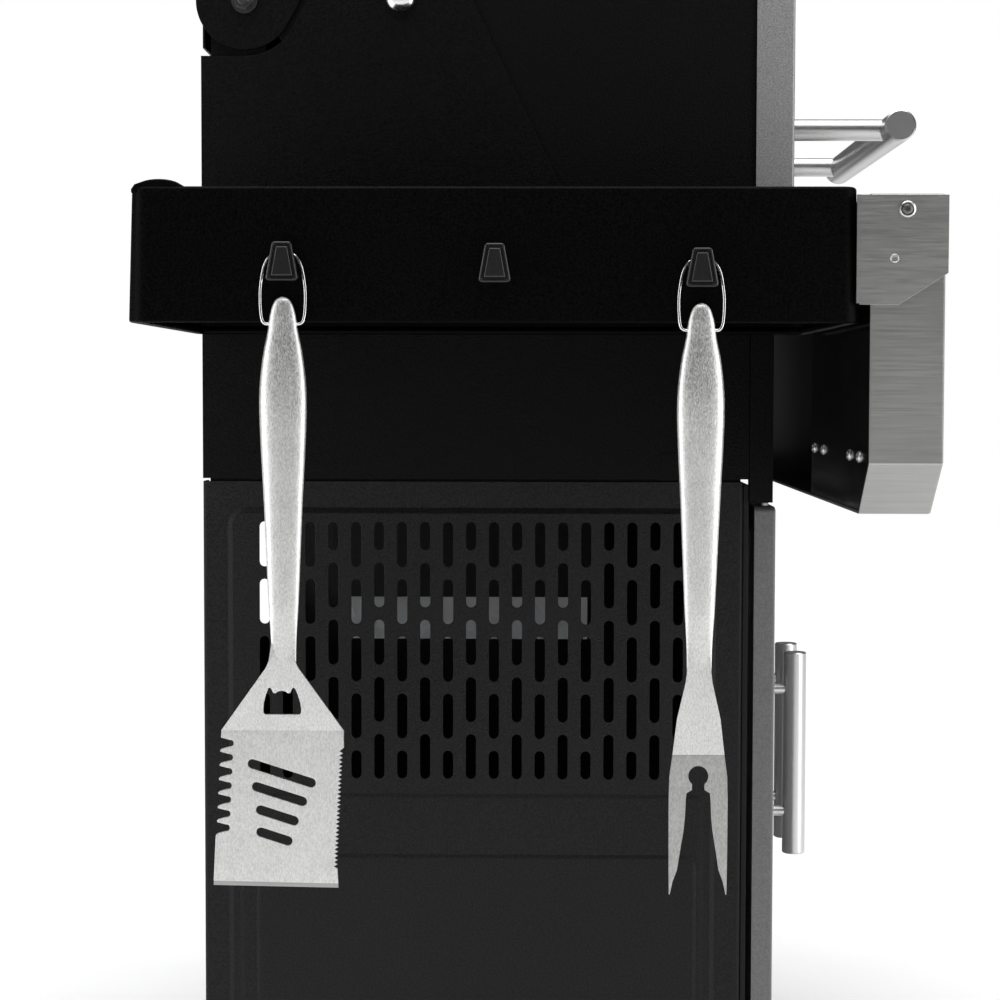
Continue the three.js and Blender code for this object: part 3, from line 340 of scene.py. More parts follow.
def rounded(corners, inset, radius, steps=5):
    """A convex outline moved in by an inset, with each corner rounded, in millimetres."""
    count = len(corners)
    area = sum(
        corners[i][0] * corners[(i + 1) % count][1] - corners[(i + 1) % count][0] * corners[i][1]
        for i in range(count)
    )
    turn = 1 if area > 0 else -1
    lines = []
    for i in range(count):
        start, end = Vector(corners[i]), Vector(corners[(i + 1) % count])
        along = (end - start).normalized()
        lines.append((start + Vector((-along.y, along.x)) * inset * turn, along))
    points = []
    for i in range(count):
        (p, d), (q, e) = lines[i - 1], lines[i]
        cross = d.x * e.y - d.y * e.x
        share = ((q - p).x * e.y - (q - p).y * e.x) / cross
        corner = p + d * share
        half = math.acos(max(-1, min(1, d.dot(e)))) / 2
        reach = radius * math.tan(half)
        first, last = corner - d * reach, corner + e * reach
        centre = first + Vector((-d.y, d.x)) * radius * turn
        start = math.atan2(first.y - centre.y, first.x - centre.x)
        for step in range(steps + 1):
            angle = start + 2 * half * turn * step / steps
            points.append((centre.x + radius * math.cos(angle), centre.y + radius * math.sin(angle)))
    return points


def pressed(name, corners, radius, levels, place, first_cap=True, last_cap=True, steps=5):
    """A pressing: one outline repeated at each (inset, height) level, skinned into a sheet."""
    rings = [
        [place(u, v, height) for u, v in rounded(corners, inset, max(radius - inset, 0.3), steps)]
        for inset, height in levels
    ]
    count = len(rings[0])
    faces = [
        (
            row * count + i,
            row * count + (i + 1) % count,
            (row + 1) * count + (i + 1) % count,
            (row + 1) * count + i,
        )
        for row in range(len(rings) - 1)
        for i in range(count)
    ]
    if first_cap:
        faces.append(tuple(range(count))[::-1])
    if last_cap:
        faces.append(tuple(range((len(rings) - 1) * count, len(rings) * count)))
    piece = new_piece(name, [p for ring in rings for p in ring], faces)
    tidy_up(piece)
    return piece


def plate(name, outlines, thickness, place, edge=0.3):
    """Flat plate cut to an outline with holes, in millimetres; place turns (u, v, w) into a point."""
    curve = bpy.data.curves.new(name, "CURVE")
    curve.dimensions = "2D"
    curve.fill_mode = "BOTH"
    curve.extrude = thickness / 2 - edge
    curve.bevel_depth = edge
    curve.bevel_resolution = 1
    curve.offset = -edge
    for outline in outlines:
        spline = curve.splines.new("POLY")
        spline.points.add(len(outline) - 1)
        for point, (u, v) in zip(spline.points, outline):
            point.co = (u, v, 0, 1)
        spline.use_cyclic_u = True
    holder = bpy.data.objects.new(name, curve)
    bpy.context.scene.collection.objects.link(holder)
    bpy.context.view_layer.update()
    solid = holder.evaluated_get(bpy.context.evaluated_depsgraph_get())
    mesh = bpy.data.meshes.new_from_object(solid)
    points = [place(v.co.x, v.co.y, v.co.z) for v in mesh.vertices]
    faces = [tuple(f.vertices) for f in mesh.polygons]
    bpy.data.objects.remove(holder)
    bpy.data.curves.remove(curve)
    bpy.data.meshes.remove(mesh)
    piece = new_piece(name, points, faces)
    tidy_up(piece)
    return piece


def arc(centre, radius, start, end, steps=24):
    """Points on an arc, with its angles in degrees."""
    angles = [math.radians(start + (end - start) * i / steps) for i in range(steps + 1)]
    return [(centre[0] + radius * math.cos(a), centre[1] + radius * math.sin(a)) for a in angles]


def capsule(start, end, radius, steps=6):
    """The outline of a round ended slot."""
    tilt = math.degrees(math.atan2(end[1] - start[1], end[0] - start[0]))
    return arc(end, radius, tilt - 90, tilt + 90, steps) + arc(start, radius, tilt + 90, tilt + 270, steps)


def swept(name, outline, place, start, end):
    """A bar of constant section: the (u, v) outline drawn from w = start to w = end."""
    count = len(outline)
    points = [place(u, v, w) for w in (start, end) for u, v in outline]
    faces = [(i, (i + 1) % count, count + (i + 1) % count, count + i) for i in range(count)]
    faces += [tuple(range(count))[::-1], tuple(range(count, 2 * count))]
    piece = new_piece(name, points, faces)
    tidy_up(piece)
    return piece


# The body's own middle: half way between the cabinet's sides, and a set distance from its rear edge
left_low, left_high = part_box("cabinet_left_side")
right_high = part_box("cabinet_right_side")[1]
BODY_REAR = 250
MID_X = (left_low.x + right_high.x) / 2
MID_Y = left_high.y - BODY_REAR * MM


def spot(x, y, z):
    """A point given in millimetres from the body's middle, at floor height."""
    return Vector((MID_X + x * MM, MID_Y + y * MM, z * MM))


def on_left(skin):
    """Places (u, v, w) on the left side: u to the rear, v up, w outwards from the skin."""
    return lambda u, v, w: spot(-skin - w, u, v)


cabinet_coat = powder("cabinet_coat", 0.001, 0.019, 0.5, bump=0.7, specular=0.18)
FIELD = [(229, 660), (-186, 660), (-186, 120), (229, 120)]
FIELD_HEIGHT = 2.2
FIELD_SLOPE = 4.6
FIELD_RADIUS = 15
SLOT_TOP = 648
SLOT_WIDTH = 8.5
SLOT_PITCH_Z = 48.8
side_low, side_high = left_low.z / MM, left_high.z / MM


def vent_slots():
    slots = []
    for column in range(19):
        y = 197.5 - column * 19.5
        top = SLOT_TOP
        for row in range(5):
            short = row == (0 if column % 2 else 4)
            length = 24 if short else 38.4
            low, high = top - length + SLOT_WIDTH / 2, top - SLOT_WIDTH / 2
            slots.append(capsule((y, low), (y, high), SLOT_WIDTH / 2))
            top -= 34.6 if (column % 2 and row == 0) else SLOT_PITCH_Z
    return slots


skin_outline = [(-205, side_low), (247, side_low), (247, side_high), (-205, side_high)]
skin = plate("skin", [skin_outline, rounded(FIELD, 0, FIELD_RADIUS, 8)], 2, on_left(299), 0.05)
LOWER_TOP = 416
BELT_HEIGHT = 0.7
upper = plate(
    "upper", [rounded(FIELD, FIELD_SLOPE, FIELD_RADIUS - FIELD_SLOPE, 8), *vent_slots()],
    2, on_left(299 + FIELD_HEIGHT), 0.35,
)
slope = pressed(
    "slope", FIELD, FIELD_RADIUS,
    [(0, 0), (0.8, 0.25), (FIELD_SLOPE - 0.8, FIELD_HEIGHT - 0.25), (FIELD_SLOPE, FIELD_HEIGHT),
     (FIELD_SLOPE, FIELD_HEIGHT - 2), (0, -2), (0, 0)],
    on_left(300), False, False, 8,
)
PANEL = [(205, 364), (-170, 364), (-170, 140), (205, 140)]
panel = pressed(
    "panel", PANEL, 12,
    [(0, 0), (0, 0.2), (1.5, 1.0), (3, 1.4), (3.5, 1.45)],
    on_left(300 + FIELD_HEIGHT + BELT_HEIGHT - 0.2), False, True, 8,
)
belt = pressed(
    "belt", [(219, LOWER_TOP), (-176, LOWER_TOP), (-176, 130), (219, 130)], 9,
    [(0, -0.3), (0, 0), (1.6, 0.3), (3, BELT_HEIGHT - 0.1), (4, BELT_HEIGHT)],
    on_left(300 + FIELD_HEIGHT), False, True, 8,
)


def edge_fold(name, y, toward):
    """The fold and inward flange along an upright edge, drawn up the side's full height."""
    bend = arc((-297, y + 3 * toward), 3, 180, 180 + 90 * toward, 5)
    inner = arc((-297, y + 3 * toward), 1, 180 + 90 * toward, 180, 5)
    outline = bend + [(-276, y), (-276, y + 2 * toward)] + inner
    return swept(name, outline, lambda u, v, w: spot(u, v, w), side_low, side_high)


folds = [edge_fold("front_fold", -208, 1), edge_fold("rear_fold", 250, -1)]
side = joined("cabinet_side_slotted", skin, upper, slope, belt, panel, *folds)
finished(side, cabinet_coat, "grill_body", ["cabinet_left_side"])

inner_coat = powder("inner_coat", 0.003, 0.012, 0.6, specular=0.2)
coated("cabinet_right_side", cabinet_coat, 0.8)
coated("cabinet_back", inner_coat, 0.5)
coated("cabinet_floor", inner_coat, 0.6)
coated("cabinet_front_frame", inner_coat, 0.6)


# ---------------------------------------------------------------- doors
# Two folded sheet doors with a satin grey coat turn on full height pins at the cabinet's outer corners.
# Each has a brushed tube handle, standing off the door on two turned posts.

# The doors share the hood front's satin grey. This copy is painted darker as painted shade, because the
# doors stand low and partly shaded.
door_grey_painted_shade = powder("door_grey_painted_shade", (0.1, 0.1, 0.102), (0.19, 0.19, 0.193), 0.42, 700.0, 0.3, 0.5)
door_grey_painted_shade.feed("Metallic", door_grey_painted_shade.noise(1400.0, 2.0) * 0.3 + 0.35)
pin_steel = brushed("pin_steel", 0.35, 0.55, (300, 300, 30))
tube_steel = brushed("tube_steel", 0.5, 0.72, (900, 900, 12), 0.34)


def on_front(u, v, w):
    """Places (u, v, w) in front view: u to the right, v up, w towards the front."""
    return spot(u, -w, v)


for word, sign in (("left", -1), ("right", 1)):
    low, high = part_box(f"door_{word}")
    x0, x1 = (low.x - MID_X) / MM, (high.x - MID_X) / MM
    z0, z1 = low.z / MM, high.z / MM
    back, face = -(high.y - MID_Y) / MM, -(low.y - MID_Y) / MM
    leaf = pressed(
        f"door_leaf_{word}", [(x0, z0), (x1, z0), (x1, z1), (x0, z1)], 5,
        [(8, back), (0, back), (0, face - 3), (0.9, face - 0.9), (3, face), (26, face), (29, face - 1.6),
         (34, face - 1.6)],
        on_front,
    )
    finished(leaf, door_grey_painted_shade, f"{word}_door", [f"door_{word}"])
    coated(f"door_{word}_pin", pin_steel, 0.5)

    node = f"door_{word}_handle"
    low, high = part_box(node)
    half = (high.z - low.z) / 2 / MM
    centre = Vector(((low.x + high.x) / 2, low.y + 11 * MM, (low.z + high.z) / 2))
    bar = turned(
        "bar", [(0.5, -half), (10, -half), (11, -half + 1), (11, half - 1), (10, half), (0.5, half)],
        centre, "z",
    )
    posts = []
    for height in (352, 471):
        reach = (high.y - centre.y) / MM
        post = turned(
            "post", [(0.4, 0), (5, 0), (5, reach - 2.5), (7, reach - 2), (7, reach), (0.4, reach)],
            (centre.x, centre.y, height * MM), "y", 32,
        )
        posts.append(post)
    finished(joined(f"{node}_tube", bar, *posts), tube_steel, f"{word}_door", [node])


# ---------------------------------------------------------------- firebox
# The firebox is a folded tub between two side skins. Each skin rises behind the hood as an ear with a
# round cut around the hood's pivot, held by a bolt with a black nut; a polished stud stops the hood.

body_coat = powder("body_coat", 0.0001, 0.0062, 0.5, bump=0.8, specular=0.09)
nut_black = moulded("nut_black", 0.02, 0.05, 0.32, 900.0, 0.1)
polished = brushed("polished_dome", 0.7, 0.86, (90, 90, 90), 0.2, 0.03)
PIVOT = (213, 1086)
REAR_SLOPE = (-0.487, 0.873)
CUT_RADIUS = 46
coated("firebox_tub", body_coat, 0.8)


def slope_touch(radius):
    """Where a line along the ear's rear edge touches a circle about the pivot."""
    return (PIVOT[0] - radius * REAR_SLOPE[1], PIVOT[1] + radius * REAR_SLOPE[0])


def up_slope(start, height):
    return (start[0] + (height - start[1]) * REAR_SLOPE[0] / REAR_SLOPE[1], height)


touch = slope_touch(CUT_RADIUS)
touch_angle = math.degrees(math.atan2(touch[1] - PIVOT[1], touch[0] - PIVOT[0]))
if touch_angle > 0:
    touch_angle -= 360
EAR = [
    (250, 684.5), (250, PIVOT[1] - CUT_RADIUS), *arc(PIVOT, CUT_RADIUS, -90, touch_angle, 28),
    up_slope(touch, 1180), (66, 1180), (-82.6, 868), (-213, 868), (-213, 684.5),
]
TAB = [(-14, 683.6), (14, 683.6), (14, 705), (11, 707), (-11, 707), (-14, 705)]
NUT_RADIUS = 9.2
STUD_RADIUS = 12.5
STUD_RISE = 6.8
for word, sign in (("left", -1), ("right", 1)):
    node = f"body_{word}_side"

    def on_side(skin, sign=sign):
        return lambda u, v, w: spot(sign * (skin + w), u, v)

    ear = plate("ear", [EAR], 2, on_side(299), 0.8)
    bracket_outline = [(196, 878), (242, 878), (242, 1086), (225, 1102), (201, 1102), (196, 1086)]
    bracket = plate("bracket", [bracket_outline], 3, on_side(293), 0.3)
    spacer = plate("spacer", [[(196, 878), (242, 878), (242, 1000), (196, 1000)]], 6, on_side(296), 0.3)
    tabs = [
        plate("tab", [[(y + u, v) for u, v in TAB]], 0.9, on_side(300.2), 0.2)
        for y in (195, -152)
    ]
    # The skin's lower edge tucks into the cabinet behind a thin lip, which closes the joint
    lip = plate("lip", [[(-206, 670), (244, 670), (244, 692), (-206, 692)]], 1.4, on_side(296.4), 0.2)
    skin = joined(f"{node}_skin", ear, bracket, spacer, lip, *tabs)
    finished(skin, body_coat, "grill_body", [node])

    bolt = f"pivot_bolt_{word}"

    def on_bolt(u, v, w, sign=sign):
        return spot(sign * (300 + w), PIVOT[0] + u, PIVOT[1] + v)

    hexagon = [(NUT_RADIUS * bent(a)[0], NUT_RADIUS * bent(a)[1]) for a in range(15, 375, 60)]
    nut = pressed("nut", hexagon, 0.9, [(0, 0.4), (0, 5.6), (1.1, 7), (3.2, 7)], on_bolt)
    washer_line = [(0.5, 0.3), (10.6, 0.3), (11, 0.7), (11, 1.3), (0.5, 1.3)]
    end_line = [(0.5, -11), (5, -11), (5, 8), (4.2, 8.6), (0.5, 8.6)]
    at_pivot = spot(sign * 300, *PIVOT)
    washer = turned("washer", [(r, along * sign) for r, along in washer_line], at_pivot, "x", 40)
    end = turned("end", [(r, along * sign) for r, along in end_line], at_pivot, "x", 32)
    finished(joined(f"{bolt}_nut", nut, washer, end), nut_black, "grill_body", [bolt])

    stud = f"lid_stop_stud_{word}"
    dome = [(STUD_RADIUS * bent(a)[0], sign * (2.4 + STUD_RISE * bent(a)[1])) for a in range(0, 88, 8)]
    stud_line = [(0.5, sign * 0.4), (STUD_RADIUS, sign * 0.4), *dome, (0.3, sign * 9.3)]
    head = turned(f"{stud}_dome", stud_line, spot(sign * 300, 82, 1088), "x", 48)
    finished(head, polished, "grill_body", [stud])


# ---------------------------------------------------------------- inside the firebox
# A cast burn pot sits in the tub's floor under a grease pan in the same cast iron finish. The cast cooking
# grate lies on the tub's ledges, with a plated warming rack above. A cradle below holds a galvanised grease
# drawer.

cast = Finish("cast_iron", Specular_IOR_Level=0.3)
sand = cast.noise(520.0, 4.0)
soot = cast.noise(14.0, 4.0)
cast.feed("Base Color", cast.mix(sand * 0.4 + soot * 0.6, (0.014, 0.013, 0.012), (0.05, 0.045, 0.04)))
cast.feed("Roughness", soot * 0.25 + 0.55)
cast.raise_by(sand, 0.45, 0.5)

galvanised = Finish("galvanised", Metallic=1.0)
spangle = galvanised.cells(95.0)
frost = galvanised.noise(420.0, 3.0)
zinc_tone = galvanised.mix(spangle * 0.6 + frost * 0.4, (0.33, 0.34, 0.35), (0.56, 0.57, 0.58))
galvanised.feed("Base Color", zinc_tone)
galvanised.feed("Roughness", spangle * 0.18 + frost * 0.14 + 0.3)
galvanised.raise_by(spangle * 0.7 + frost * 0.3, 0.08, 0.15)

rack_plate = brushed("rack_plating", 0.5, 0.7, (120, 120, 120), 0.3)
for node, edge in (("burn_pot", 0.6), ("drip_pan", 0.6), ("cooking_grate", 1.0)):
    coated(node, cast, edge)
coated("warming_rack", rack_plate, 0.8)
coated("tray_cradle", inner_coat, 0.5)
coated("grease_tray", galvanised, 0.5)


# ---------------------------------------------------------------- feed and hopper
# An auger in a galvanised tube carries pellets from the hopper's chute to the burn pot, turned by a
# small gear motor beside the combustion fan. The hopper is a powder coated box with a hinged cover.

auger_steel = brushed("auger_steel", 0.32, 0.52, (160, 160, 160), 0.42)
for node in ("auger_tube", "auger_motor", "hopper_chute"):
    coated(node, galvanised, 0.6)
coated("auger_screw", auger_steel, 0.3)
fan_plastic = moulded("fan_plastic", 0.018, 0.035, 0.45)
for node in ("fan_housing", "fan_impeller", "power_inlet"):
    coated(node, fan_plastic, 0.5)
hopper_coat = powder("hopper_coat", 0.006, 0.017, 0.5)
coated("hopper_box", hopper_coat, 1.2)
coated("hopper_lid", hopper_coat, 1.2)


# ---------------------------------------------------------------- hood
# The hood's front is a satin grey sheet rolled over the top, with returns folded down both ends. The
# black shell behind it closes the top, rear and ends. A brushed tube on two posts is its handle.

hood_grey = powder("hood_grey", (0.25, 0.25, 0.254), (0.42, 0.42, 0.425), 0.42, 700.0, 0.3, 0.5)
hood_grey.feed("Metallic", hood_grey.noise(1300.0, 2.0) * 0.3 + 0.3)
ARC_CENTRE = (-144, 1100)
ARC_RADIUS = 105
RETURN = 32
front_line = [((-249, 872 + i * 19), (1, 0)) for i in range(13)]
for i in range(1, 31):
    angle = math.radians(180 - 3 * i)
    direction = (math.cos(angle), math.sin(angle))
    point = (ARC_CENTRE[0] + ARC_RADIUS * direction[0], ARC_CENTRE[1] + ARC_RADIUS * direction[1])
    front_line.append((point, (-direction[0], -direction[1])))
HEM_RADIUS = 2.4
across = [(-300, RETURN), (-300, HEM_RADIUS)]
for a in (22, 45, 68, 90):
    across.append((-300 + HEM_RADIUS * (1 - bent(a)[0]), HEM_RADIUS * (1 - bent(a)[1])))
across += [(-x, depth) for x, depth in across[::-1]]
points = [
    spot(x, y + inward[0] * depth, z + inward[1] * depth)
    for (y, z), inward in front_line
    for x, depth in across
]
width = len(across)
faces = [
    (row * width + i, row * width + i + 1, (row + 1) * width + i + 1, (row + 1) * width + i)
    for row in range(len(front_line) - 1)
    for i in range(width - 1)
]
hood_front = new_piece("hood_front_sheet", points, faces)
sheet = hood_front.modifiers.new("sheet", "SOLIDIFY")
sheet.thickness = 1.9 * MM
sheet.offset = -1
tidy_up(hood_front)
finished(hood_front, hood_grey, "hood", ["lid_front"])

TOP = 1205
REAR_ARC = (150, 1105)
REAR_HEM = 1128
hem_angle = math.degrees(math.asin((REAR_HEM - REAR_ARC[1]) / 100))
top_outer = [(-143.2, TOP), *arc(REAR_ARC, 100, 90, hem_angle, 20)]
top_inner = [*arc(REAR_ARC, 98, hem_angle, 90, 20), (-143.2, TOP - 2)]
top_sheet = swept("top_sheet", top_outer + top_inner, lambda u, v, w: spot(w, u, v), -297.6, 297.6)
# Below the hem the rear sheet is narrower, so that it swings down between the body's two skins
skirt_outline = [
    *arc(REAR_ARC, 100, hem_angle, 0, 8), (250, 1048),
    (248, 1048), *arc(REAR_ARC, 98, 0, hem_angle, 8),
]
skirt = swept("skirt", skirt_outline, lambda u, v, w: spot(w, u, v), -288.6, 288.6)
END_PLATE = [
    (-246.6, 872), *arc(ARC_CENTRE, 102.6, 180, 90, 24), *arc(REAR_ARC, 97.6, 90, hem_angle, 20),
    (213, 1100), (183, 1054), (40, 872),
]
LOBE_RADIUS = 41
lobe_touch = slope_touch(LOBE_RADIUS)
lobe_start = math.degrees(math.atan2(lobe_touch[1] - PIVOT[1], lobe_touch[0] - PIVOT[0])) % 360
LOBE = [*arc(PIVOT, LOBE_RADIUS, lobe_start, 360, 30), (244, 1150), up_slope(lobe_touch, 1150)]
ends = []
for sign in (-1, 1):
    def on_end(skin, sign=sign):
        return lambda u, v, w: spot(sign * (skin + w), u, v)

    ends.append(plate("end", [END_PLATE], 2, on_end(296.6), 0.3))
    ends.append(plate("lobe", [LOBE], 3.1, on_end(298.65), 0.4))
shell = joined("hood_shell", top_sheet, skirt, *ends)
finished(shell, body_coat, "hood", ["lid_shell"])

low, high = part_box("lid_handle")
half = (high.x - low.x) / 2 / MM
centre = Vector(((low.x + high.x) / 2, low.y + 14 * MM, (low.z + high.z) / 2))
bar = turned(
    "bar", [(0.5, -half), (12.6, -half), (14, -half + 1.4), (14, half - 1.4), (12.6, half), (0.5, half)],
    centre, "x", 56,
)
reach = (high.y - centre.y) / MM
posts = [
    turned("post", [(0.4, 0), (9.6, 0), (9.6, reach - 3), (12, reach - 2.4), (12, reach), (0.4, reach)],
           centre + Vector((x * MM, 0, 0)), "y", 40)
    for x in (-163, 163)
]
bar_steel = brushed("bar_steel", 0.4, 0.66, (10, 900, 900), 0.33)
finished(joined("hood_handle_tube", bar, *posts), bar_steel, "hood", ["lid_handle"])


# ---------------------------------------------------------------- control fascia
# A brushed stainless tray runs across the whole front with its lower corners cut off. Its controller has
# a bezel, screen, knob and button. A gloss panel closes its back and a bracket ties it to the shelf.

fascia_steel = brushed("fascia_steel", (0.24, 0.24, 0.236), (0.5, 0.5, 0.49), (20, 20, 1100), 0.38, 0.14)
low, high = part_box("control_fascia")
end = (high.x - low.x) / 2 / MM
face, back = -(low.y - MID_Y) / MM, -(high.y - MID_Y) / MM
bottom, top = low.z / MM, high.z / MM
CORNER = (46, 37)
FASCIA = [
    (-end, bottom + CORNER[1]), (CORNER[0] - end, bottom),
    (end - CORNER[0], bottom), (end, bottom + CORNER[1]),
    (end, top), (-end, top),
]
fascia = pressed(
    "control_fascia_tray", FASCIA, 2.2,
    [(2, back), (0, back), (0, face - 2.2), (0.6, face - 0.6), (2.2, face)],
    on_front, False,
)
liner = pressed("fascia_liner", FASCIA, 2.2, [(2, back), (2, face - 2)], on_front, False)
finished(liner, inner_coat, "grill_body")
finished(fascia, fascia_steel, "grill_body", ["control_fascia"])

gloss = Finish("gloss_panel", Specular_IOR_Level=0.6)
smear = gloss.noise(24.0, 4.0)
gloss.feed("Base Color", gloss.mix(smear, 0.002, 0.006))
gloss.feed("Roughness", smear * 0.16 + 0.06)
gloss.raise_by(gloss.noise(60.0, 3.0), 0.05, 0.4)
coated("fascia_back_cover", gloss, 0.4)
screw_steel = brushed("screw_steel", 0.45, 0.75, (200, 200, 200), 0.3, 0.06)


def screw(name, centre, axis, sign, radius):
    """A pan head screw with a cross recess, standing towards sign along its axis."""
    dome = [(radius * bent(a)[0], sign * (0.5 + radius * 0.42 * bent(a)[1])) for a in range(0, 66, 8)]
    recess = [(radius * 0.34, sign * (0.5 + radius * 0.38)), (radius * 0.2, sign * 0.5 * radius * 0.4)]
    pit = sign * 0.5 * radius * 0.4
    head = turned(name, [(0.2, 0), (radius, 0), *dome, *recess, (0.1, pit)], centre, axis, 32)
    bars = []
    for tilt in (25, 115):
        u, v = (share * radius * 0.62 for share in bent(tilt))
        w = sign * (0.5 + radius * 0.36)
        turn = AXES[axis]
        a = Vector(centre) + turn @ Vector((-u, -v, w)) * MM
        b = Vector(centre) + turn @ Vector((u, v, w)) * MM
        side_way = turn @ Vector((-v, u, 0)).normalized() * radius * 0.09 * MM
        rise = turn @ Vector((0, 0, sign)) * 0.35 * MM
        points = [a - side_way, b - side_way, b + side_way, a + side_way]
        points += [p + rise for p in points]
        faces = [(0, 1, 2, 3), (4, 5, 6, 7), (0, 1, 5, 4), (1, 2, 6, 5), (2, 3, 7, 6), (3, 0, 4, 7)]
        cross = new_piece("cross", points, faces)
        tidy_up(cross)
        bars.append(cross)
    return head, bars


cover_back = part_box("fascia_back_cover")[1].y
for index, x in enumerate((-573, -525, -378, -321)):
    head, crosses = screw(f"cover_screw_{index}", Vector((MID_X + x * MM, cover_back, 0.712)), "y", 1, 4.2)
    finished(joined(f"cover_screw_{index}", head, *crosses), screw_steel, "grill_body")

low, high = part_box("fascia_bracket")
plate_x = -(low.x - MID_X) / MM
front_v, rear_v = (low.y - MID_Y) / MM, (high.y - MID_Y) / MM
z0, z1 = low.z / MM, high.z / MM
BRACKET = [(rear_v, z0), (rear_v, z1), (front_v, z1), (front_v, z0 + 22), (front_v + 34, z0)]
bracket_plate = plate("plate", [BRACKET], 2, on_left(plate_x - 1), 0.35)
dimple = turned("dimple", [(0.4, 0.35), (1.2, 0), (2.2, -0.1), (2.7, -0.5), (3.2, -0.1), (3.4, 0.5)],
                spot(-plate_x, -281, 851), "x", 32)
flange = swept("flange", [(rear_v, z0 + 1), (rear_v + 2.2, z0 + 1), (rear_v + 2.2, z1), (rear_v, z1)],
               on_left(0), plate_x - 2, plate_x + 0.6)
bracket = joined("fascia_end_bracket", bracket_plate, flange, dimple)
upright_steel = brushed("upright_steel", (0.24, 0.24, 0.236), (0.52, 0.52, 0.51), (40, 40, 1100), 0.4, 0.14)
finished(bracket, upright_steel, "grill_body", ["fascia_bracket"])
bracket_screw_place = spot(-plate_x, -289.5, 885)
rim_line = [(4.3, -0.2), (4.3, -1.3), (4.9, -1.9), (5.6, -1.5), (6, -0.2), (4.3, -0.2)]
rim = turned("bracket_screw_rim", rim_line, bracket_screw_place, "x", 40)
finished(rim, screw_steel, "grill_body")
dark_steel = brushed("screw_dark", 0.07, 0.26, (300, 300, 300), 0.42, 0.2)
head, crosses = screw("bracket_screw", bracket_screw_place, "x", -1, 4)
finished(joined("bracket_screw", head, *crosses), dark_steel, "grill_body")

bezel_black = moulded("bezel_black", 0.012, 0.024, 0.4)
low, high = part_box("controller_bezel")
x0, x1 = (low.x - MID_X) / MM, (high.x - MID_X) / MM
z0, z1 = low.z / MM, high.z / MM
face, back = -(low.y - MID_Y) / MM, -(high.y - MID_Y) / MM
bezel = pressed(
    "controller_surround", [(x0, z0), (x1, z0), (x1, z1), (x0, z1)], 9,
    [(0, back), (0, face - 3), (0.9, face - 0.9), (3, face), (5, face), (6, face - 1), (8, face - 1)],
    on_front,
)
ring = turned("ring", [(8.7, -9.2), (8.7, -10.6), (10.8, -10.6), (11.4, -9.2), (8.7, -9.2)],
              spot(88, -317, 800), "y", 40)
screen_rim = pressed(
    "screen_rim", [(104, 770), (174, 770), (174, 830), (104, 830)], 4,
    [(0, face - 1.2), (0, face + 0.4), (1.2, face + 0.8), (3, face + 0.4), (3.4, face - 0.8)],
    on_front, False, False,
)
finished(joined("controller_surround", bezel, ring, screen_rim), bezel_black, "grill_body",
         ["controller_bezel"])
screen = pressed(
    "controller_screen", [(106, 772), (172, 772), (172, 828), (106, 828)], 3,
    [(0, face - 1.1), (0.6, face - 0.5), (1.2, face - 0.3)], on_front, False,
)
finished(screen, gloss, "grill_body")
low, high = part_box("power_button")
button = turned(
    "power_button_cap", [(0.4, 9), (8, 9), (8, 1.4), (7, 0.3), (5.4, 0), (4.6, 0.7), (0.4, 0.9)],
    Vector(((low.x + high.x) / 2, low.y, (low.z + high.z) / 2)), "y", 40,
)
finished(button, bezel_black, "button", ["power_button"])
low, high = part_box("selector_knob")
knob_front = low.y
centre = Vector(((low.x + high.x) / 2, knob_front, (low.z + high.z) / 2))
depth = (high.y - low.y) / MM
knob = turned(
    "knob",
    [
        (0.4, 5), (15.4, 5), (17.4, 5.6), (18.4, 7.4),
        (18.8, depth - 3), (19, depth - 2), (19, depth), (0.4, depth),
    ],
    centre, "y", 56,
)
rib = pressed(
    "rib", [(-3, -17.6), (3, -17.6), (3, 17.6), (-3, 17.6)], 2.6,
    [(0, -8), (0, -1), (0.6, -0.3), (1.6, 0)],
    lambda u, v, w: centre + Vector((u, -w, v)) * MM,
)
finished(joined("selector_knob_turned", knob, rib), tube_steel, "knob", ["selector_knob"])


# ---------------------------------------------------------------- side shelf
# The shelf is one deep drawn sheet with rounded corners, a rolled hem along its lower edge and a ridge
# along its rear. Three moulded hooks clip to its outer face and carry the tools on wire loops.

shelf_coat = powder("shelf_coat", 0.0001, 0.0026, 0.44, 640.0, 0.5, 0.04)
REAR_ROLL = 3
low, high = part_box("side_shelf")
DRAFT = -2.6
x0, x1 = (low.x - MID_X) / MM, (high.x - MID_X) / MM + DRAFT
y0, y1 = (low.y - MID_Y) / MM, (high.y - MID_Y) / MM + REAR_ROLL
z0 = low.z / MM
SHELF_TOP = 901
EDGE = 2.6


def from_above(u, v, w):
    return spot(u, v, w)


corner = [
    (EDGE * (1 - bent(a)[1]), SHELF_TOP - EDGE * (1 - bent(a)[0]))
    for a in range(90, -1, -18)
]
hem = [(4.6, 4.6), (5.2, 3), (4.6, 1.2), (3, 0.2), (1.4, 0.2), (0.2, 1), (0, 2.4)]
levels = [(DRAFT + inset, z0 + rise) for inset, rise in hem]
levels = [(0.9, SHELF_TOP - EDGE), (DRAFT + 0.8, z0 + 7), *levels]
shelf_plan = [(x0, y0), (x1, y0), (x1, y1), (x0, y1)]
tray = pressed("tray", shelf_plan, 11, [*levels, *corner], from_above, False, True, 8)
under_levels = [(2, SHELF_TOP - EDGE - 2), (EDGE, SHELF_TOP - 2)]
under = pressed("under", shelf_plan, 11, under_levels, from_above, False, True, 8)
ridge_profile = [(y1 - 36, SHELF_TOP - 0.5)]
for a in range(-84, 45, 12):
    ridge_profile.append((y1 - 20 + 16 * bent(a)[1], SHELF_TOP + 5.6 * bent(a)[0] - 0.5))
ridge_profile += [(y1 - 3, SHELF_TOP + 1.4), (y1 - 0.6, SHELF_TOP - 2)]
ridge_profile += [(y1 - 0.6, SHELF_TOP - 5), (y1 - 36, SHELF_TOP - 5)]
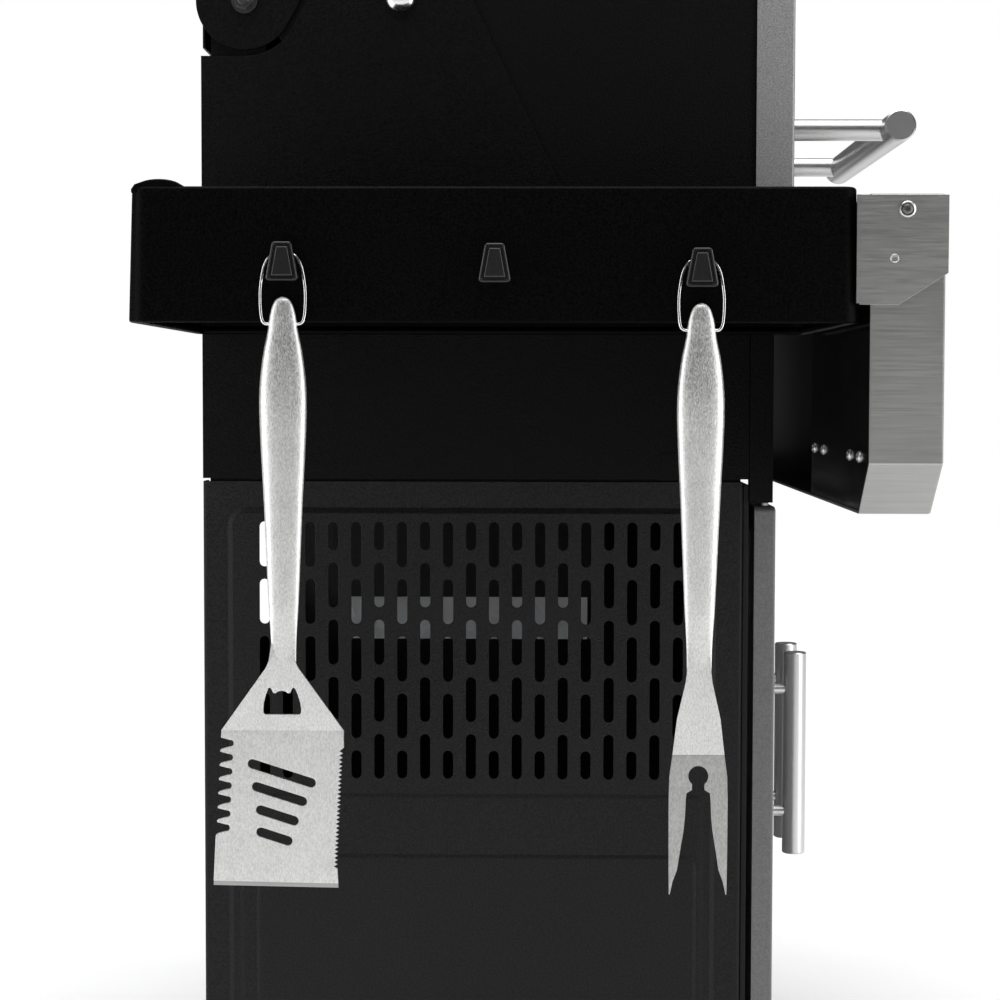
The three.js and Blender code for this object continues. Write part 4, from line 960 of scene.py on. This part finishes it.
ridge = swept("shelf_ridge", ridge_profile, lambda u, v, w: spot(w, u, v), x0 + 1.5, x1 - 1)
ridge_edge = ridge.modifiers.new("edge", "BEVEL")
ridge_edge.width = 1.2 * MM
ridge_edge.segments = 3
ridge_edge.limit_method = "ANGLE"
ridge_edge.angle_limit = math.radians(50)
finished(joined("shelf_tray", tray, under), shelf_coat, "grill_body", ["side_shelf"])
finished(ridge, shelf_coat, "grill_body")

hook_plastic = moulded("hook_plastic", 0.002, 0.007, 0.32, 1500.0, 0.2)
HOOK = [(-11.6, -13.6), (11.6, -13.6), (6.7, 13.6), (-6.7, 13.6)]
for word in ("rear", "middle", "front"):
    node = f"hook_{word}"
    low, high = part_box(node)
    y = (low.y + high.y) / 2
    z = (low.z + high.z) / 2
    face = low.x

    def on_hook(u, v, w, y=y, z=z, face=face):
        return Vector((face - w * MM, y + u * MM, z + v * MM))

    shield = pressed(
        "shield", HOOK, 2.6,
        [
            (0.6, -4), (0, -3.4), (0, -1.1), (0.3, -0.4), (0.9, 0), (1.5, 0),
            (2, -0.5), (2.3, -1.4), (2.9, -1.4), (3.3, -0.5), (3.8, 0.1), (4.6, 0.4),
        ],
        on_hook,
    )
    arm = pressed(
        "arm", [(-5.5, -10), (5.5, -10), (5.5, 2.3), (-5.5, 2.3)], 1.6,
        [(0, -3.2), (0, -(high.x - low.x) / MM)], on_hook,
    )
    finished(joined(f"{node}_shield", shield, arm), hook_plastic, "grill_body", [node])


# ---------------------------------------------------------------- hanging tools
# A spatula and a meat fork of shot blasted stainless hang from bent wire loops. Each handle is a flattened
# turned form. The heads are sheet, cut with openers; the spatula's has slots, teeth and a ground edge.


def flowing(points, per_span=8, closed=True):
    """A smooth run of points through the given ones."""
    count = len(points)
    run = []
    spans = count if closed else count - 1
    for i in range(spans):
        near = [i + k - 1 for k in range(4)]
        a, b, c, d = (points[k % count if closed else min(max(k, 0), count - 1)] for k in near)
        for step in range(per_span):
            t = step / per_span
            run.append(tuple(
                0.5 * (2 * b[k] + (c[k] - a[k]) * t + (2 * a[k] - 5 * b[k] + 4 * c[k] - d[k]) * t * t
                       + (3 * b[k] - a[k] - 3 * c[k] + d[k]) * t ** 3)
                for k in range(len(b))
            ))
    if not closed:
        run.append(tuple(points[-1]))
    return run


wire_steel = brushed("wire_steel", 0.5, 0.82, (200, 200, 200), 0.16, 0.05)
handle_steel = blasted("handle_steel", (0.46, 0.46, 0.455), (0.84, 0.84, 0.83), 0.42)
blade_steel = blasted("blade_steel", (0.46, 0.46, 0.455), (0.82, 0.82, 0.81), 0.38)
ground_steel = brushed("ground_steel", (0.28, 0.28, 0.275), (0.5, 0.5, 0.49), (900, 40, 900), 0.4, 0.1)
LOOP_SIDE = [(7.5, 0), (12.6, -7), (15.2, -20), (15.7, -32), (14.7, -43.5), (12, -47.5), (5.5, -47.5)]
LOOP = [(0, 0), *LOOP_SIDE, (0, -47.5), *[(-y, z) for y, z in LOOP_SIDE[::-1]]]
WIRE_SIDES = 12
for word in ("rear", "front"):
    node = f"tool_loop_{word}"
    low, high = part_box(node)
    wire = (high.x - low.x) / 2
    origin = Vector(((low.x + high.x) / 2, (low.y + high.y) / 2, high.z - wire))
    line = flowing(LOOP, 8)
    points = []
    for i, (y, z) in enumerate(line):
        before, after = line[i - 1], line[(i + 1) % len(line)]
        along = Vector((0, after[0] - before[0], after[1] - before[1])).normalized()
        out = along.cross(Vector((1, 0, 0)))
        for step in range(WIRE_SIDES):
            angle = 2 * math.pi * step / WIRE_SIDES
            around = out * math.cos(angle) + Vector((1, 0, 0)) * math.sin(angle)
            points.append(origin + Vector((0, y, z)) * MM + around * wire)
    count = len(line)
    faces = [
        (
            i * WIRE_SIDES + k,
            i * WIRE_SIDES + (k + 1) % WIRE_SIDES,
            (i + 1) % count * WIRE_SIDES + (k + 1) % WIRE_SIDES,
            (i + 1) % count * WIRE_SIDES + k,
        )
        for i in range(count)
        for k in range(WIRE_SIDES)
    ]
    loop = new_piece(f"{node}_wire", points, faces)
    tidy_up(loop)
    finished(loop, wire_steel, f"{word}_loop", [node])

# Half width, height below the loop and half thickness down the handle
GRIP = [
    (8.2, -237, 0.4), (8.4, -233, 0.75), (8.6, -227, 1.1), (8.8, -218, 1.7),
    (9.6, -204, 2.9), (10.8, -185, 4.2), (13.6, -121, 5.7),
    (16, -75, 6.8), (16.5, -46, 7.0), (14.2, -22, 6.0), (10.6, -4, 4.6), (8.8, 8, 3.8), (5.5, 16.5, 2.6),
    (0.6, 19.4, 0.4),
]
FOOT = -231
FOLD = {"spatula": -278, "fork": -290}
LEAN = -2.5
STRETCH = 1.018
HEAD_SHIFT = 1.2


def head_place(origin, fold):
    """Places a head's plates: the neck leans in towards the grill, the blade below hangs upright."""

    def place(u, v, w):
        lean = min(max((FOOT - v) / (FOOT - fold), 0), 1) * LEAN
        return origin + Vector((-lean - w, u, v * STRETCH)) * MM

    return place


def tool_grip(name, node, hook_loop):
    """Where a tool hangs, and its handle there."""
    low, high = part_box(node)
    loop_low, loop_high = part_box(hook_loop)
    wire = (loop_high.x - loop_low.x) / 2
    origin = Vector(((low.x + high.x) / 2, (loop_low.y + loop_high.y) / 2, loop_low.z + wire))
    rows = [(width, height * STRETCH, half) for width, height, half in flowing(GRIP, 4, False)]
    return origin, turned(name, rows, origin, "z", 40)


origin, grip = tool_grip("spatula_handle", "spatula", "tool_loop_rear")
origin = origin + Vector((0, HEAD_SHIFT * MM, 0))
place = head_place(origin, FOLD["spatula"])
neck_side = [(7.6, -218), (8.8, -227), (9.4, -230), (10.4, -232.6), (12, -235.4), (43.2, -278.4)]
opener = [
    (12.2, -267), (13.2, -266), (13.4, -263.6), (13, -259), (11.4, -253), (9.8, -249), (8.8, -248.4),
    (7.9, -249), (6.4, -252), (4.8, -252.4), (2.8, -251), (0.4, -250.6), (-2, -251), (-4, -252.4),
    (-5.6, -252), (-7, -249), (-8, -248.4), (-9, -249), (-10.8, -253), (-12.6, -259), (-13.2, -263.6),
    (-13, -266), (-12, -267),
]
neck_outline = neck_side + [(-u, v) for u, v in neck_side[::-1]]
neck = plate("spatula_neck", [neck_outline, opener], 1.8, place, 0.25)
left_edge = [(43, -277.8), (43.3, -283)]
for index in range(7):
    z = -283.3 - index * 9.8
    lip = 43.6 + index * 0.5
    left_edge += [(lip - 0.4, z - 0.1), (lip - 5.4, z - 1.4), *arc((lip - 7, z - 3.9), 2.3, 80, 280, 6)]
    left_edge += [(lip - 5.4, z - 6.4), (lip - 0.6, z - 7.8), (lip + 0.3, z - 8.8)]
left_edge += [(47.4, -352), (48.9, -383)]
right_edge = [(-39, -384.5), (-38.4, -376)]
TEETH = 28
for index in range(TEETH):
    z = -374 + index * (374 - 291) / TEETH
    right_edge += [(-38.4 - (index / TEETH) * 4.2, z), (-35.9 - (index / TEETH) * 4.2, z + 1.5)]
right_edge += [(-43, -290), (-43, -277.8)]
SPATULA_SLOTS = [
    ((21.4, -301.4), (-20.1, -314.5)), ((18.5, -317.3), (-13.9, -327.4)),
    ((15.7, -333.5), (-8, -340.9)), ((15.5, -348.9), (-3.6, -354.9)),
]
slots = [capsule(a, b, 3.2) for a, b in SPATULA_SLOTS]
blade = plate("spatula_blade", [left_edge + right_edge, *slots], 1.8, place, 0.25)
GROUND_EDGE = [(48.8, -382.6), (49, -386), (-39, -387.5), (-38.9, -384.1)]
ground = plate("spatula_edge", [GROUND_EDGE], 1.2, place, 0.25)
finished(ground, ground_steel, "hanging_spatula")
finished(grip, handle_steel, "hanging_spatula", ["spatula"])
finished(blade, blade_steel, "hanging_spatula")
finished(neck, handle_steel, "hanging_spatula")

origin, grip = tool_grip("fork_handle", "meat_fork", "tool_loop_front")
place = head_place(origin, FOLD["fork"])
fork_outer = [(7.6, -222), (8.4, -232), (9.4, -240), (15.2, -265), (18.2, -290)]
neck_outline = fork_outer + [(-u, v) for u, v in fork_outer[::-1]]
neck = plate("fork_neck", [neck_outline], 1.8, place, 0.25)
prong = [(18.2, -290), (20.2, -305), (20.6, -321), (20.6, -340), (20.4, -372), (20.2, -386.6), (19.6, -387)]
inside = [
    (17.6, -378), (14.6, -370), (12.2, -355), (10.2, -343),
    (9.2, -334), (8.6, -320), (8.2, -316.5), (4.4, -314.2),
]
round_opener = arc((0, -304.6), 7, -52, 90, 12)
half_fork = prong + inside + round_opener
fork_outline = half_fork + [(-u, v) for u, v in half_fork[::-1][1:]]
blade = plate("fork_blade", [fork_outline], 1.8, place, 0.25)
finished(neck, handle_steel, "hanging_fork")
# The fork's prongs are the same shot blasted stainless as its neck, painted darker as painted shade.
fork_steel_painted_shade = blasted("fork_steel_painted_shade", (0.28, 0.28, 0.277), (0.56, 0.56, 0.55), 0.42)
finished(grip, handle_steel, "hanging_fork", ["meat_fork"])
finished(blade, fork_steel_painted_shade, "hanging_fork")


# ---------------------------------------------------------------- studio
# A pale seamless floor, large soft lights on both sides and overhead, and a long lens at standing height
# on the shelf's side, turned slightly to the rear and down.

floor_paint = Finish("floor_paint", Specular_IOR_Level=0.2)
mottle = floor_paint.noise(3.0, 3.0)
floor_paint.feed("Base Color", floor_paint.mix(mottle, 0.91, 0.95))
floor_paint.feed("Roughness", mottle * 0.1 + 0.6)
REACH = 9
DROP = -0.0005
floor_corners = [(-REACH, -REACH, DROP), (REACH, -REACH, DROP), (REACH, REACH, DROP), (-REACH, REACH, DROP)]
floor = new_piece("studio_floor", floor_corners, [(0, 1, 2, 3)])
floor.data.materials.append(floor_paint.material)

world = bpy.data.worlds.new("studio")
bpy.context.scene.world = world
world.use_nodes = True
sky = world.node_tree
seen = sky.nodes.new("ShaderNodeLightPath")
sky_mix = sky.nodes.new("ShaderNodeMix")
sky_mix.data_type = "RGBA"
sky_mix.inputs[6].default_value = (0.09, 0.09, 0.09, 1)
sky_mix.inputs[7].default_value = (1.0, 1.0, 1.0, 1)
sky.links.new(seen.outputs["Is Camera Ray"], sky_mix.inputs[0])
sky.links.new(sky_mix.outputs[2], sky.nodes["Background"].inputs["Color"])


def softbox(name, place, aim, size, power):
    lamp = bpy.data.lights.new(name, "AREA")
    lamp.shape = "RECTANGLE"
    lamp.size, lamp.size_y = size
    lamp.energy = power
    holder = bpy.data.objects.new(name, lamp)
    bpy.context.scene.collection.objects.link(holder)
    holder.location = place
    holder.rotation_euler = (Vector(aim) - Vector(place)).to_track_quat("-Z", "Y").to_euler()


daylight = bpy.data.lights.new("overhead", "SUN")
daylight.energy = 3.5
daylight.angle = math.radians(70)
overhead = bpy.data.objects.new("overhead", daylight)
bpy.context.scene.collection.objects.link(overhead)
overhead.rotation_euler = (0, math.radians(-8), 0)
softbox("rear_strip", (-1.5, 2.4, 1.1), (-0.5, 0, 0.7), (1.2, 2.4), 26)
softbox("front_strip", (-1.5, -2.4, 1.1), (-0.5, -0.1, 0.7), (1.2, 2.4), 30)

CAMERA = spot(-2138.6, -33.6, 758.1)
YAW, PITCH, ROLL = math.radians(0.974), math.radians(2.849), math.radians(0.11)
forward = Vector((math.cos(YAW) * math.cos(PITCH), math.sin(YAW) * math.cos(PITCH), -math.sin(PITCH)))
right = forward.cross(Vector((0, 0, 1))).normalized()
up = right.cross(forward)
right, up = right * math.cos(ROLL) + up * math.sin(ROLL), up * math.cos(ROLL) - right * math.sin(ROLL)
lens = bpy.data.cameras.new("camera")
lens.lens = 78.22
lens.sensor_width = 36
lens.clip_end = 60
camera = bpy.data.objects.new("camera", lens)
bpy.context.scene.collection.objects.link(camera)
turn = Matrix((right, up, -forward)).transposed().to_4x4()
camera.matrix_world = Matrix.Translation(CAMERA) @ turn
bpy.context.scene.camera = camera
bpy.context.scene.view_settings.view_transform = "Standard"
